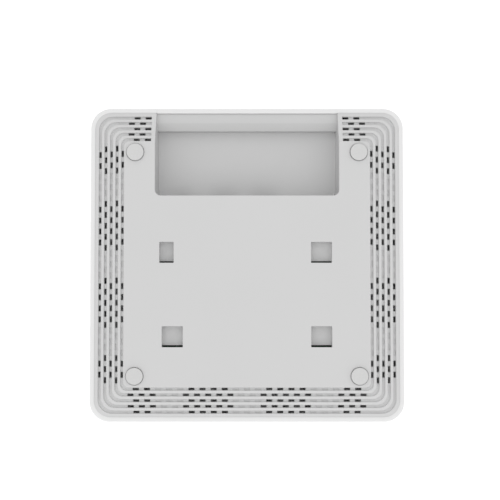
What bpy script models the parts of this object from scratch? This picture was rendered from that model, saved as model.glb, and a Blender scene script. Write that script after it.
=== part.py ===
"""Ceiling access point, in metres, lying on its front cover with its mounting face up (+Z).

The cable recess opens at the +Y edge, which is called the upper edge here. Left is -X and right is
+X, as seen by someone who looks at the mounting face with the recess at the top. The origin is in
the middle of the front face, so the object stands on Z = 0.
"""

import math

import bmesh
import bpy
from mathutils import Vector

MM = 0.001
GAP = 0.3 * MM  # air between pieces that touch each other

# Front cover, a shallow square tray
COVER_HALF = 97.0 * MM
COVER_CORNER = 12.5 * MM
COVER_TOP_Z = 25.2 * MM
COVER_SKIN = 2.2 * MM
COVER_EDGE = 14.0 * MM  # radius of the round edge between the front face and the side walls
COVER_EDGE_STEPS = 5
COVER_WALL = 3.5 * MM
LEDGE_Z = 20.7 * MM  # the casing's skirt stands on this ledge
LIP_ROUND = 0.8 * MM

# Back casing: a flat plate, then a border that slopes down to the cover's rim
BACK_Z = 33.0 * MM
CASING_WALL = 2.6 * MM
CASING_HALF = 94.2 * MM
PLATE_HALF = 75.2 * MM
PLATE_CORNER = 3.2 * MM
BORDER_SLOPE = 0.426  # drop for each unit outwards
CORNER_GROWTH = 1.0 / 3.0  # the corner radius grows this much for each unit outwards
SKIRT_BOTTOM_Z = 21.0 * MM
SKIRT_WALL = 2.0 * MM
CORNER_STEPS = 6

# Grooves and vent slots of the border
GROOVES = 5
FIRST_GROOVE_HALF = 76.6 * MM
GROOVE_PITCH = 3.58 * MM
GROOVE_MOUTH = 1.9 * MM
GROOVE_FLOOR = 1.6 * MM
GROOVE_DEPTH = 1.5 * MM
GROOVE_STOP_X = 59.0 * MM  # on the upper side the grooves end here, beside the cable recess
GROOVE_END = 0.3 * MM
SLOT_PITCH = 6.8 * MM
SLOT_LENGTH = 3.7 * MM
SLOT_WIDTH = 1.45 * MM
EVEN_ROW_SLOTS = (2, 3, 4, 5, 9, 10)  # in slot pitches from the middle of a side
ODD_ROW_SLOTS = (1.5, 2.5, 3.5, 4.5, 5.5, 8.5, 9.5, 10.5)
UPPER_SIDE_FIRST_SLOT = 9
EVEN_ROW_BLIND = (0, 1, 6, 7, 8)  # slots between the groups that are only shallow dimples
ODD_ROW_BLIND = (0.5, 6.5, 7.5)
BLIND_DEPTH = 0.4 * MM  # below the groove's floor

# Cable recess
RECESS_HALF = 56.7 * MM  # at the plate
RECESS_INNER_Y = 42.0 * MM  # at the plate
RECESS_OUTER_Y = 83.6 * MM
RECESS_FLOOR_Z = 13.0 * MM
RECESS_DRAFT = math.tan(math.radians(3.4))
RECESS_CORNER = 3.5 * MM
RECESS_WALL = 2.2 * MM
SILL_INNER_Z = 19.8 * MM
SILL_BREAK = Vector((88.1, 23.2)) * MM  # (Y, Z) where the sill turns from steep to nearly level
SILL_OUTER_Z = 23.6 * MM

# Hook pockets: the middle of the opening, and its width. All have the same height.
POCKETS = {
    "upper_left": (-49.4 * MM, 7.0 * MM, 8.8 * MM),
    "upper_right": (45.7 * MM, 7.0 * MM, 12.8 * MM),
    "lower_left": (-45.7 * MM, -44.7 * MM, 12.9 * MM),
    "lower_right": (45.7 * MM, -44.7 * MM, 12.8 * MM),
}
POCKET_HEIGHT = 12.8 * MM
POCKET_DEPTH = 6.0 * MM
POCKET_WALL = 1.5 * MM
POCKET_SLIT = 1.25 * MM  # the floor stops this far short of the lip
POCKET_REACH = 4.5 * MM  # how far a hook slides under the lip

# Feet, casing screws and their bosses
FOOT_OFFSET = 68.8 * MM
FOOT_RADIUS = 5.2 * MM
FOOT_TOP_Z = 35.0 * MM
FOOT_SEAT_DEPTH = 1.2 * MM
FOOT_SEAT_GAP = 0.4 * MM
CASING_BOSS_RADIUS = 4.5 * MM
CASING_BOSS_END_Z = 15.9 * MM
COVER_BOSS_RADIUS = 4.0 * MM
SCREW_SEAT_Z = 21.0 * MM
SCREW_HEAD_RADIUS = 2.8 * MM
SCREW_HEAD_HEIGHT = 2.0 * MM
SCREW_SHANK_RADIUS = 1.2 * MM
SCREW_TIP_Z = 6.0 * MM
PILOT_RADIUS = 1.5 * MM
PILOT_BOTTOM_Z = 4.5 * MM
CLEARANCE_HOLE_RADIUS = 1.75 * MM

# Main board
BOARD_HALF_X = 63.0 * MM
BOARD_LOWER_Y = -63.0 * MM
BOARD_UPPER_Y = 39.3 * MM
BOARD_BOTTOM_Z = 12.4 * MM
BOARD_TOP_Z = 14.0 * MM
BOARD_SCREW_X = 57.0 * MM
BOARD_SCREW_Y = (-57.0 * MM, 32.0 * MM)
BOARD_BOSS_RADIUS = 3.0 * MM
PART_Z = BOARD_TOP_Z + GAP  # underside of what stands on the board
UNDER_PART_Z = BOARD_BOTTOM_Z - GAP  # upper side of what hangs under the board

# Sockets and controls that reach the recess's inner wall
SOCKET_FACE_Y = 41.6 * MM
NETWORK_JACKS = {"poe_jack": -14.0 * MM, "lan_jack": 10.0 * MM}
JACK_SIZE = Vector((16.0, 21.3, 13.4)) * MM
JACK_SHEET = 0.4 * MM
PLUG_WIDTH = 11.9 * MM
PLUG_DEPTH = 14.0 * MM
PLUG_FLOOR = 1.3 * MM
PLUG_HEIGHT = 7.2 * MM
LATCH_STEPS = ((6.2 * MM, 1.5 * MM), (3.5 * MM, 1.3 * MM))  # width and height of the latch keyway
CONTACTS = 8
CONTACT_PITCH = 1.02 * MM
CONTACT_WIDTH = 0.5 * MM
CONTACT_THICKNESS = 0.4 * MM
CONTACT_LENGTH = 9.0 * MM
CONTACT_RISE = 1.6 * MM
DC_JACK_X = -40.0 * MM
DC_JACK_SIZE = Vector((9.0, 14.0, 11.0)) * MM
DC_BORE_RADIUS = 3.1 * MM
DC_BORE_DEPTH = 10.0 * MM
DC_PIN_RADIUS = 1.0 * MM
DC_PIN_LENGTH = 12.6 * MM
DC_AXIS_HEIGHT = 6.5 * MM
RESET_X = 34.0 * MM
RESET_Z = 17.6 * MM
RESET_BODY = Vector((6.0, 6.0, 6.0)) * MM
RESET_BODY_FRONT_Y = 36.6 * MM
RESET_BUTTON_RADIUS = 1.3 * MM
RESET_FLANGE_RADIUS = 1.9 * MM
RESET_RUNNING_GAP = 0.1 * MM
RESET_TRAVEL = 0.5 * MM
RESET_STEM_DEPTH = 2.6 * MM  # how far the button's stem reaches into the switch
RESET_HOLE_RADIUS = 1.75 * MM

# Cooling
HEAT_SINK_HALF_X = 34.0 * MM
HEAT_SINK_Y = (-58.0 * MM, -8.0 * MM)
HEAT_SINK_BASE_Z = 17.1 * MM
HEAT_SINK_BASE = 2.0 * MM
HEAT_SINK_TOP_Z = 25.0 * MM
FIN_COUNT = 9
FIN_PITCH = 6.0 * MM
FIN_THICKNESS = 1.4 * MM
PIN_X = 30.0 * MM
PIN_Y = -33.0 * MM

# Light pipe and lamp
LAMP_Y = -52.0 * MM
LIGHT_PIPE_RADIUS = 1.5 * MM
LIGHT_PIPE_FLANGE = 3.0 * MM

# Antennas under the board
ANTENNA_FOOT_Z = UNDER_PART_Z
ANTENNA_ARM_Z = 4.8 * MM
ANTENNA_SHEET = 0.5 * MM
ANTENNA_FLANGE = 5.0 * MM

ROUND_STEPS = 24
SMALL_ROUND_STEPS = 14
SMOOTH_ANGLE = math.radians(35)

# Material: linear colour, roughness, metallic
MATERIALS = {
    "cover_plastic": ((0.80, 0.80, 0.80), 0.35, 0.0),
    "casing_plastic": ((0.64, 0.64, 0.64), 0.5, 0.0),
    "foot_rubber": ((0.62, 0.62, 0.62), 0.7, 0.0),
    "steel": ((0.55, 0.55, 0.56), 0.3, 1.0),
    "aluminium": ((0.75, 0.75, 0.76), 0.4, 1.0),
    "brass": ((0.80, 0.62, 0.25), 0.3, 1.0),
    "board_laminate": ((0.02, 0.11, 0.05), 0.45, 0.0),
    "chip_black": ((0.02, 0.02, 0.02), 0.5, 0.0),
    "socket_black": ((0.03, 0.03, 0.03), 0.4, 0.0),
    "thermal_pad": ((0.35, 0.42, 0.55), 0.8, 0.0),
    "ferrite": ((0.06, 0.06, 0.065), 0.6, 0.0),
    "coil_tape": ((0.55, 0.42, 0.05), 0.4, 0.0),
    "clear_plastic": ((0.90, 0.92, 0.93), 0.15, 0.0),
    "lamp": ((0.75, 0.85, 0.80), 0.3, 0.0),
    "button_grey": ((0.25, 0.25, 0.26), 0.45, 0.0),
}


def clear_scene():
    for obj in list(bpy.data.objects):
        bpy.data.objects.remove(obj, do_unlink=True)


def material_named(name):
    """The material of that name, made from the table the first time that it is asked for."""
    if name in bpy.data.materials:
        return bpy.data.materials[name]
    colour, roughness, metallic = MATERIALS[name]
    material = bpy.data.materials.new(name)
    material.use_nodes = True
    shader = material.node_tree.nodes["Principled BSDF"]
    shader.inputs["Base Color"].default_value = (*colour, 1.0)
    shader.inputs["Roughness"].default_value = roughness
    shader.inputs["Metallic"].default_value = metallic
    return material


def place(name, shape, material=None, at=(0.0, 0.0, 0.0)):
    """Turns a bmesh into an object with its own origin, with its faces pointing out."""
    bmesh.ops.recalc_face_normals(shape, faces=shape.faces)
    mesh = bpy.data.meshes.new(name)
    shape.to_mesh(mesh)
    shape.free()
    obj = bpy.data.objects.new(name, mesh)
    obj.location = at
    if material:
        mesh.materials.append(material_named(material))
    bpy.context.scene.collection.objects.link(obj)
    return obj


def combine(obj, shape, operation):
    """Joins a shape to an object, or cuts it away, and keeps the result as the object's mesh."""
    tool = place("tool", shape)
    modifier = obj.modifiers.new("combine", "BOOLEAN")
    modifier.operation = operation
    modifier.solver = "EXACT"
    modifier.object = tool
    graph = bpy.context.evaluated_depsgraph_get()
    result = bpy.data.meshes.new_from_object(obj.evaluated_get(graph))
    obj.modifiers.clear()
    before = obj.data
    obj.data = result
    bpy.data.meshes.remove(before)
    bpy.data.objects.remove(tool, do_unlink=True)


def join(obj, shape):
    combine(obj, shape, "UNION")


def cut(obj, shape):
    combine(obj, shape, "DIFFERENCE")


def shade_round(obj):
    obj.data.shade_smooth()
    obj.data.set_sharp_from_angle(angle=SMOOTH_ANGLE)


def box(low, high):
    """A block between two corners."""
    shape = bmesh.new()
    bmesh.ops.create_cube(shape, size=1.0)
    low, high = Vector(low), Vector(high)
    bmesh.ops.scale(shape, vec=high - low, verts=shape.verts)
    bmesh.ops.translate(shape, vec=(low + high) / 2, verts=shape.verts)
    return shape


def centred_box(middle, size):
    middle, size = Vector(middle), Vector(size)
    return box(middle - size / 2, middle + size / 2)


def loft(rings, closed=False):
    """Faces between rings of equal length. The end rings are capped, or joined when it is closed."""
    shape = bmesh.new()
    rows = [[shape.verts.new(point) for point in ring] for ring in rings]
    pairs = list(zip(rows, rows[1:]))
    if closed:
        pairs.append((rows[-1], rows[0]))
    else:
        shape.faces.new(rows[0])
        shape.faces.new(rows[-1])
    for lower, upper in pairs:
        for i in range(len(lower)):
            j = (i + 1) % len(lower)
            shape.faces.new((lower[i], lower[j], upper[j], upper[i]))
    return shape


def prism(outline, half_width):
    """An outline of (Y, Z) points, drawn out along X by half_width(z) to both sides."""
    right = [(half_width(z), y, z) for y, z in outline]
    left = [(-half_width(z), y, z) for y, z in outline]
    return loft([left, right])


def circle(radius, height, steps=ROUND_STEPS):
    angles = [2 * math.pi * i / steps for i in range(steps)]
    return [(radius * math.cos(a), radius * math.sin(a), height) for a in angles]


def turned(profile, steps=ROUND_STEPS, closed=False):
    """A shape turned about Z from (radius, height) points."""
    return loft([circle(radius, height, steps) for radius, height in profile], closed)


def moved(shape, offset):
    bmesh.ops.translate(shape, vec=offset, verts=shape.verts)
    return shape


def along_y(shape):
    """Lays a shape that was turned about Z along +Y."""
    for vert in shape.verts:
        vert.co = Vector((vert.co.x, vert.co.z, -vert.co.y))
    return shape


def rod(radius, low, high, at, steps=ROUND_STEPS):
    """A round bar about Z between two heights."""
    return moved(turned([(radius, low), (radius, high)], steps), (at[0], at[1], 0.0))


def square_ring(half, corner, height, stop=None):
    """A square with round corners, as (x, y, height) points.

    With stop, a pair of lengths along X, the upper side has four more points, at each of those
    lengths on both sides of the middle.
    """
    points = []
    middle = half - corner
    for quarter, (sx, sy) in enumerate(((1, 1), (-1, 1), (-1, -1), (1, -1))):
        for step in range(CORNER_STEPS + 1):
            angle = (quarter + step / CORNER_STEPS) * math.pi / 2
            x = sx * middle + corner * math.cos(angle)
            y = sy * middle + corner * math.sin(angle)
            points.append((x, y, height))
        if stop and quarter == 0:
            points += [(x, half, height) for x in (stop[1], stop[0], -stop[0], -stop[1])]
    return points


def four_corners(offset):
    """Names and middles of four pieces at the same distance from both axes."""
    return {
        "upper_left": (-offset, offset),
        "upper_right": (offset, offset),
        "lower_left": (-offset, -offset),
        "lower_right": (offset, -offset),
    }


def board_screw_places():
    lower, upper = BOARD_SCREW_Y
    return {
        "upper_left": (-BOARD_SCREW_X, upper),
        "upper_right": (BOARD_SCREW_X, upper),
        "lower_left": (-BOARD_SCREW_X, lower),
        "lower_right": (BOARD_SCREW_X, lower),
    }


# ---------------------------------------------------------------- front cover


def cover_rings():
    """The tray's section, from the front face out over the rim and back down inside."""
    flat = COVER_HALF - COVER_EDGE
    inner_run = COVER_EDGE - COVER_WALL
    inner_rise = COVER_EDGE - COVER_SKIN
    rim_half = CASING_HALF + GAP
    quarter = [i / COVER_EDGE_STEPS * math.pi / 2 for i in range(COVER_EDGE_STEPS + 1)]

    def outer(half, height):
        return square_ring(half, COVER_CORNER - 0.35 * (COVER_HALF - half), height)

    def inner(half, height):
        return square_ring(half, COVER_CORNER - 2.7 * MM - 0.5 * (rim_half - half), height)

    rings = [
        outer(flat + COVER_EDGE * math.sin(a), COVER_EDGE * (1 - math.cos(a))) for a in quarter
    ]
    rings.append(outer(COVER_HALF, COVER_TOP_Z - LIP_ROUND))
    rings.append(outer(COVER_HALF - 0.3 * LIP_ROUND, COVER_TOP_Z - 0.3 * LIP_ROUND))
    rings.append(outer(COVER_HALF - LIP_ROUND, COVER_TOP_Z))
    rings.append(inner(rim_half, COVER_TOP_Z))
    rings.append(inner(rim_half, LEDGE_Z))
    rings.append(inner(COVER_HALF - COVER_WALL, LEDGE_Z))
    for a in reversed(quarter):
        height = COVER_EDGE - inner_rise * math.cos(a)
        rings.append(inner(flat + inner_run * math.sin(a), height))
    return rings


def make_front_cover():
    cover = place("front_cover", loft(cover_rings()), "cover_plastic")
    root_z = COVER_SKIN / 2
    for at in four_corners(FOOT_OFFSET).values():
        join(cover, rod(COVER_BOSS_RADIUS, root_z, CASING_BOSS_END_Z - GAP, at))
        cut(cover, rod(PILOT_RADIUS, PILOT_BOTTOM_Z, BACK_Z, at, SMALL_ROUND_STEPS))
    for at in board_screw_places().values():
        join(cover, rod(BOARD_BOSS_RADIUS, root_z, UNDER_PART_Z, at, SMALL_ROUND_STEPS))
        cut(cover, rod(PILOT_RADIUS, PILOT_BOTTOM_Z, BACK_Z, at, SMALL_ROUND_STEPS))
    lamp_hole = LIGHT_PIPE_RADIUS + GAP
    cut(cover, rod(lamp_hole, -COVER_SKIN, 2 * COVER_SKIN, (0, LAMP_Y), SMALL_ROUND_STEPS))
    shade_round(cover)


# ---------------------------------------------------------------- back casing


def border_z(half):
    """Height of the border's surface at a distance from the middle, grooves left out."""
    return BACK_Z - BORDER_SLOPE * max(0.0, half - PLATE_HALF)


def border_corner(half):
    return PLATE_CORNER + CORNER_GROWTH * (half - PLATE_HALF)


def border_ring(half, lowered=0.0):
    """A ring on the border. Its part beside the cable recess isn't lowered into a groove."""
    stop = (GROOVE_STOP_X, GROOVE_STOP_X + GROOVE_END)
    ring = square_ring(half, border_corner(half), border_z(half) - lowered, stop)
    first = CORNER_STEPS + 2
    for i in (first, first + 1):
        x, y, z = ring[i]
        ring[i] = (x, y, border_z(half))
    return ring


def casing_rings():
    """The shell's section, from the plate out to the skirt and back under the border."""
    rings = [border_ring(PLATE_HALF)]
    for groove in range(GROOVES):
        middle = FIRST_GROOVE_HALF + groove * GROOVE_PITCH
        rings.append(border_ring(middle - GROOVE_MOUTH / 2))
        rings.append(border_ring(middle - GROOVE_FLOOR / 2, GROOVE_DEPTH))
        rings.append(border_ring(middle + GROOVE_FLOOR / 2, GROOVE_DEPTH))
        rings.append(border_ring(middle + GROOVE_MOUTH / 2))
    stop = (GROOVE_STOP_X, GROOVE_STOP_X + GROOVE_END)
    edge = 0.4 * MM
    inner_half = CASING_HALF - SKIRT_WALL
    edge_z = border_z(CASING_HALF)
    rings.append(border_ring(CASING_HALF - edge))
    outline = (
        (CASING_HALF, edge_z - edge),
        (CASING_HALF, SKIRT_BOTTOM_Z),
        (inner_half, SKIRT_BOTTOM_Z),
        (inner_half, border_z(inner_half) - CASING_WALL),
        (PLATE_HALF, BACK_Z - CASING_WALL),
    )
    for half, height in outline:
        rings.append(square_ring(half, border_corner(half), height, stop))
    return rings


def recess_half_width(z):
    """The recess narrows as it goes down, because its side walls have draft."""
    return RECESS_HALF - RECESS_DRAFT * (BACK_Z - z)


def add_recess(casing):
    """Joins the recess's box under the plate, then hollows it out and opens it at the edge."""
    under = CASING_WALL / 2
    sill_under = Vector((SILL_BREAK.x, SILL_BREAK.y - RECESS_WALL))
    skirt_y = CASING_HALF - SKIRT_WALL / 2
    shell = [
        (RECESS_INNER_Y - RECESS_WALL, RECESS_FLOOR_Z - RECESS_WALL),
        (RECESS_OUTER_Y + RECESS_WALL, RECESS_FLOOR_Z - RECESS_WALL),
        (RECESS_OUTER_Y + RECESS_WALL, SILL_INNER_Z - RECESS_WALL),
        (sill_under.x, sill_under.y),
        (skirt_y, SILL_OUTER_Z - RECESS_WALL),
        (skirt_y, border_z(skirt_y) - under),
        (PLATE_HALF, BACK_Z - under),
        (RECESS_INNER_Y - RECESS_WALL, BACK_Z - under),
    ]
    join(casing, prism(shell, lambda z: GROOVE_STOP_X))
    above = 2 * MM
    inner_floor_y = RECESS_INNER_Y + RECESS_DRAFT * (BACK_Z - RECESS_FLOOR_Z)
    hollow = [
        (inner_floor_y, RECESS_FLOOR_Z),
        (RECESS_OUTER_Y, RECESS_FLOOR_Z),
        (RECESS_OUTER_Y, SILL_INNER_Z),
        (SILL_BREAK.x, SILL_BREAK.y),
        (CASING_HALF + above, SILL_OUTER_Z),
        (CASING_HALF + above, BACK_Z + above),
        (RECESS_INNER_Y - RECESS_DRAFT * above, BACK_Z + above),
    ]
    shape = prism(hollow, recess_half_width)
    upright = [
        edge
        for edge in shape.edges
        if all(v.co.y < inner_floor_y + GAP for v in edge.verts)
        and abs(edge.verts[0].co.z - edge.verts[1].co.z) > above
    ]
    bmesh.ops.bevel(
        shape,
        geom=upright,
        offset=RECESS_CORNER,
        segments=4,
        profile=0.5,
        affect="EDGES",
        offset_type="OFFSET",
    )
    cut(casing, shape)


def cut_socket_openings(casing):
    """Openings in the recess's inner wall for the sockets and for the reset button."""
    near, far = RECESS_INNER_Y - 2 * RECESS_WALL, RECESS_INNER_Y + 2 * RECESS_WALL

    def opening(middle_x, width, height):
        low = (middle_x - width / 2 - GAP, near, PART_Z - GAP)
        high = (middle_x + width / 2 + GAP, far, PART_Z + height + GAP)
        cut(casing, box(low, high))

    for middle_x in NETWORK_JACKS.values():
        opening(middle_x, JACK_SIZE.x, JACK_SIZE.z)
    opening(DC_JACK_X, DC_JACK_SIZE.x, DC_JACK_SIZE.z)
    hole = along_y(turned([(RESET_HOLE_RADIUS, near), (RESET_HOLE_RADIUS, far)]))
    cut(casing, moved(hole, (RESET_X, 0.0, RESET_Z)))


def add_pocket(casing, middle_x, middle_y, width):
    """A square pocket whose floor stops short of the lip that a bracket's hook slides under."""
    low_x, high_x = middle_x - width / 2, middle_x + width / 2
    low_y, high_y = middle_y - POCKET_HEIGHT / 2, middle_y + POCKET_HEIGHT / 2
    floor_z = BACK_Z - POCKET_DEPTH
    bottom_z = floor_z - POCKET_WALL
    end_y = low_y - POCKET_REACH
    outside = box(
        (low_x - POCKET_WALL, end_y - POCKET_WALL, bottom_z),
        (high_x + POCKET_WALL, high_y + POCKET_WALL, BACK_Z - CASING_WALL / 2),
    )
    join(casing, outside)
    cut(casing, box((low_x, low_y, floor_z), (high_x, high_y, BACK_Z + POCKET_WALL)))
    channel = box(
        (low_x, end_y, bottom_z - POCKET_WALL),
        (high_x, low_y + POCKET_SLIT, BACK_Z - CASING_WALL),
    )
    cut(casing, channel)


def add_screw_seat(casing, at):
    """A boss under a foot, with the seat for the foot, the screw's head and its clearance hole."""
    join(casing, rod(CASING_BOSS_RADIUS, CASING_BOSS_END_Z, BACK_Z - CASING_WALL / 2, at))
    seat = FOOT_RADIUS + FOOT_SEAT_GAP
    head = SCREW_HEAD_RADIUS + GAP
    above = BACK_Z + CASING_WALL
    hole = CLEARANCE_HOLE_RADIUS
    steps = [(hole, PILOT_BOTTOM_Z), (hole, SCREW_SEAT_Z), (head, SCREW_SEAT_Z)]
    steps += [(head, BACK_Z - FOOT_SEAT_DEPTH), (seat, BACK_Z - FOOT_SEAT_DEPTH), (seat, above)]
    cut(casing, moved(turned(steps), (at[0], at[1], 0.0)))


def slot_places():
    """Middle, direction along the side, and depth of each vent slot in the grooves' floors."""
    through = 2 * CASING_WALL
    blind = GROOVE_DEPTH + BLIND_DEPTH
    for groove in range(GROOVES):
        half = FIRST_GROOVE_HALF + groove * GROOVE_PITCH
        if groove % 2 == 0:
            steps = [(step, through) for step in EVEN_ROW_SLOTS]
            steps += [(step, blind) for step in EVEN_ROW_BLIND]
        else:
            steps = [(step, through) for step in ODD_ROW_SLOTS]
            steps += [(step, blind) for step in ODD_ROW_BLIND]
        for step, depth in steps:
            for along in sorted({-step * SLOT_PITCH, step * SLOT_PITCH}):
                yield (-half, along), "y", depth
                yield (half, along), "y", depth
                yield (along, -half), "x", depth
                if step >= UPPER_SIDE_FIRST_SLOT:
                    yield (along, half), "x", depth


def cut_slots(casing):
    """All vent slots at once: separate blocks in one mesh, with ends that follow the border."""
    blocks = bmesh.new()
    for (x, y), direction, depth in slot_places():
        along, across = SLOT_LENGTH / 2, SLOT_WIDTH / 2
        dx, dy = (along, across) if direction == "x" else (across, along)
        corners = [(x - dx, y - dy), (x + dx, y - dy), (x + dx, y + dy), (x - dx, y + dy)]
        surface = [(cx, cy, border_z(max(abs(cx), abs(cy)))) for cx, cy in corners]
        low = [blocks.verts.new((cx, cy, z - depth)) for cx, cy, z in surface]
        high = [blocks.verts.new((cx, cy, z + CASING_WALL)) for cx, cy, z in surface]
        blocks.faces.new(low)
        blocks.faces.new(high)
        for i in range(4):
            j = (i + 1) % 4
            blocks.faces.new((low[i], low[j], high[j], high[i]))
    cut(casing, blocks)


def make_back_casing():
    casing = place("back_casing", loft(casing_rings()), "casing_plastic")
    add_recess(casing)
    cut_socket_openings(casing)
    for middle_x, middle_y, width in POCKETS.values():
        add_pocket(casing, middle_x, middle_y, width)
    for at in four_corners(FOOT_OFFSET).values():
        add_screw_seat(casing, at)
    cut_slots(casing)
    shade_round(casing)


# ---------------------------------------------------------------- feet and fasteners


def make_feet():
    edge = 0.5 * MM
    for name, at in four_corners(FOOT_OFFSET).items():
        profile = [
            (FOOT_RADIUS, BACK_Z - FOOT_SEAT_DEPTH + GAP),
            (FOOT_RADIUS, FOOT_TOP_Z - edge),
            (FOOT_RADIUS - 0.3 * edge, FOOT_TOP_Z - 0.3 * edge),
            (FOOT_RADIUS - edge, FOOT_TOP_Z),
        ]
        shape = moved(turned(profile), (0, 0, -BACK_Z))
        shade_round(place("foot_" + name, shape, "foot_rubber", (*at, BACK_Z)))


def screw(name, at, seat_z, head_radius, head_height):
    """A pan-head screw with a cross recess. Its shank stands for the thread's outside."""
    length = seat_z - SCREW_TIP_Z
    taper = 1.5 * MM
    profile = [
        (0.4 * MM, -length),
        (SCREW_SHANK_RADIUS, taper - length),
        (SCREW_SHANK_RADIUS, 0.0),
        (head_radius, 0.0),
        (head_radius, 0.6 * head_height),
        (0.75 * head_radius, head_height),
    ]
    obj = place(name, turned(profile, SMALL_ROUND_STEPS), "steel", (at[0], at[1], seat_z))
    arm, width = 0.55 * head_radius, 0.35 * MM
    low, high = 0.4 * head_height, 2 * head_height
    cross = box((-arm, -width, low), (arm, width, high))
    at_local = Vector((at[0], at[1], seat_z))
    cut(obj, moved(cross, at_local))
    cut(obj, moved(box((-width, -arm, low), (width, arm, high)), at_local))
    shade_round(obj)


def make_screws():
    seat_z = SCREW_SEAT_Z + GAP
    for name, at in four_corners(FOOT_OFFSET).items():
        head = (SCREW_HEAD_RADIUS, SCREW_HEAD_HEIGHT)
        screw("casing_screw_" + name, at, seat_z, *head)
    for name, at in board_screw_places().items():
        screw("board_screw_" + name, at, PART_Z, 2.5 * MM, 1.6 * MM)


# ---------------------------------------------------------------- board and its parts


def make_board():
    low = (-BOARD_HALF_X, BOARD_LOWER_Y, BOARD_BOTTOM_Z)
    high = (BOARD_HALF_X, BOARD_UPPER_Y, BOARD_TOP_Z)
    board = place("main_board", box(low, high), "board_laminate")
    holes = list(board_screw_places().values()) + [(-PIN_X, PIN_Y), (PIN_X, PIN_Y)]
    for at in holes:
        cut(board, rod(PILOT_RADIUS, 0.0, BACK_Z, at, SMALL_ROUND_STEPS))


def block(name, middle, size, material, base_z=PART_Z, edge=0.0):
    """A moulded part that stands on the board, with its upper edges cut at an angle."""
    half_x, half_y = size[0] / 2, size[1] / 2
    top = size[2]

    def rectangle(inset, height):
        x, y = half_x - inset, half_y - inset
        return [(-x, -y, height), (x, -y, height), (x, y, height), (-x, y, height)]

    rings = [rectangle(0.0, 0.0), rectangle(0.0, top - edge), rectangle(edge, top)]
    if not edge:
        rings.pop()
    return place(name, loft(rings), material, (middle[0], middle[1], base_z))


def make_chips():
    edge = 0.2 * MM
    chip = "chip_black"
    block("processor", (-4 * MM, PIN_Y), (17 * MM, 17 * MM, 1.2 * MM), chip, edge=edge)
    pad_z = PART_Z + 1.2 * MM + GAP
    pad_height = HEAT_SINK_BASE_Z - GAP - pad_z
    block("thermal_pad", (-4 * MM, PIN_Y), (16 * MM, 16 * MM, pad_height), "thermal_pad", pad_z)
    block("memory_chip", (17 * MM, -31 * MM), (9 * MM, 13 * MM, 1.0 * MM), chip, edge=edge)
    block("flash_chip", (-22 * MM, -31 * MM), (8 * MM, 6 * MM, 1.4 * MM), chip, edge=edge)
    block("clock_crystal", (-2 * MM, -2.5 * MM), (11 * MM, 4.6 * MM, 3.4 * MM), "steel", edge=0.6 * MM)
    for jack, middle_x in NETWORK_JACKS.items():
        name = jack.replace("jack", "magnetics")
        block(name, (middle_x, 11 * MM), (15 * MM, 11 * MM, 5.8 * MM), chip, edge=0.3 * MM)


def make_radio(name, middle):
    """A radio chip under its pressed steel can, which is open towards the board."""
    size = Vector((18, 20, 3.2)) * MM
    sheet = 0.4 * MM
    can = block("radio_shield_" + name, middle, size, "steel", edge=0.3 * MM)
    inside = Vector((size.x - 2 * sheet, size.y - 2 * sheet, size.z - sheet))
    low = (middle[0] - inside.x / 2, middle[1] - inside.y / 2, PART_Z - sheet)
    high = (middle[0] + inside.x / 2, middle[1] + inside.y / 2, PART_Z + inside.z)
    cut(can, box(low, high))
    chip_size = (9 * MM, 9 * MM, 0.9 * MM)
    block("radio_chip_" + name, middle, chip_size, "chip_black", edge=0.15 * MM)


def make_heat_sink():
    """A finned plate over the processor: a comb drawn out along Y, with two holes for its pins."""
    fins_top = HEAT_SINK_TOP_Z
    base_top = HEAT_SINK_BASE_Z + HEAT_SINK_BASE
    outline = [(HEAT_SINK_HALF_X, base_top), (HEAT_SINK_HALF_X, HEAT_SINK_BASE_Z)]
    outline += [(-HEAT_SINK_HALF_X, HEAT_SINK_BASE_Z), (-HEAT_SINK_HALF_X, base_top)]
    for fin in range(FIN_COUNT):
        middle = (fin - (FIN_COUNT - 1) / 2) * FIN_PITCH
        low_x, high_x = middle - FIN_THICKNESS / 2, middle + FIN_THICKNESS / 2
        outline += [(low_x, base_top), (low_x, fins_top), (high_x, fins_top), (high_x, base_top)]
    ends = [[(x, y, z) for x, z in outline] for y in HEAT_SINK_Y]
    sink = place("heat_sink", loft(ends), "aluminium")
    for side, name in ((-1, "left"), (1, "right")):
        at = (side * PIN_X, PIN_Y)
        cut(sink, rod(PILOT_RADIUS, 0.0, BACK_Z, at, SMALL_ROUND_STEPS))
        shaft = SCREW_SHANK_RADIUS
        head_z = base_top + GAP
        profile = [
            (0.5 * MM, 10.2 * MM),
            (2.0 * MM, UNDER_PART_Z - 0.8 * MM),
            (2.0 * MM, UNDER_PART_Z),
            (shaft, UNDER_PART_Z),
            (shaft, head_z),
            (2.5 * MM, head_z),
            (2.5 * MM, head_z + 0.9 * MM),
            (1.9 * MM, head_z + 1.4 * MM),
        ]
        pin = moved(turned(profile, SMALL_ROUND_STEPS), (0, 0, -base_top))
        shade_round(place("heat_sink_pin_" + name, pin, "socket_black", (*at, base_top)))


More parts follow.
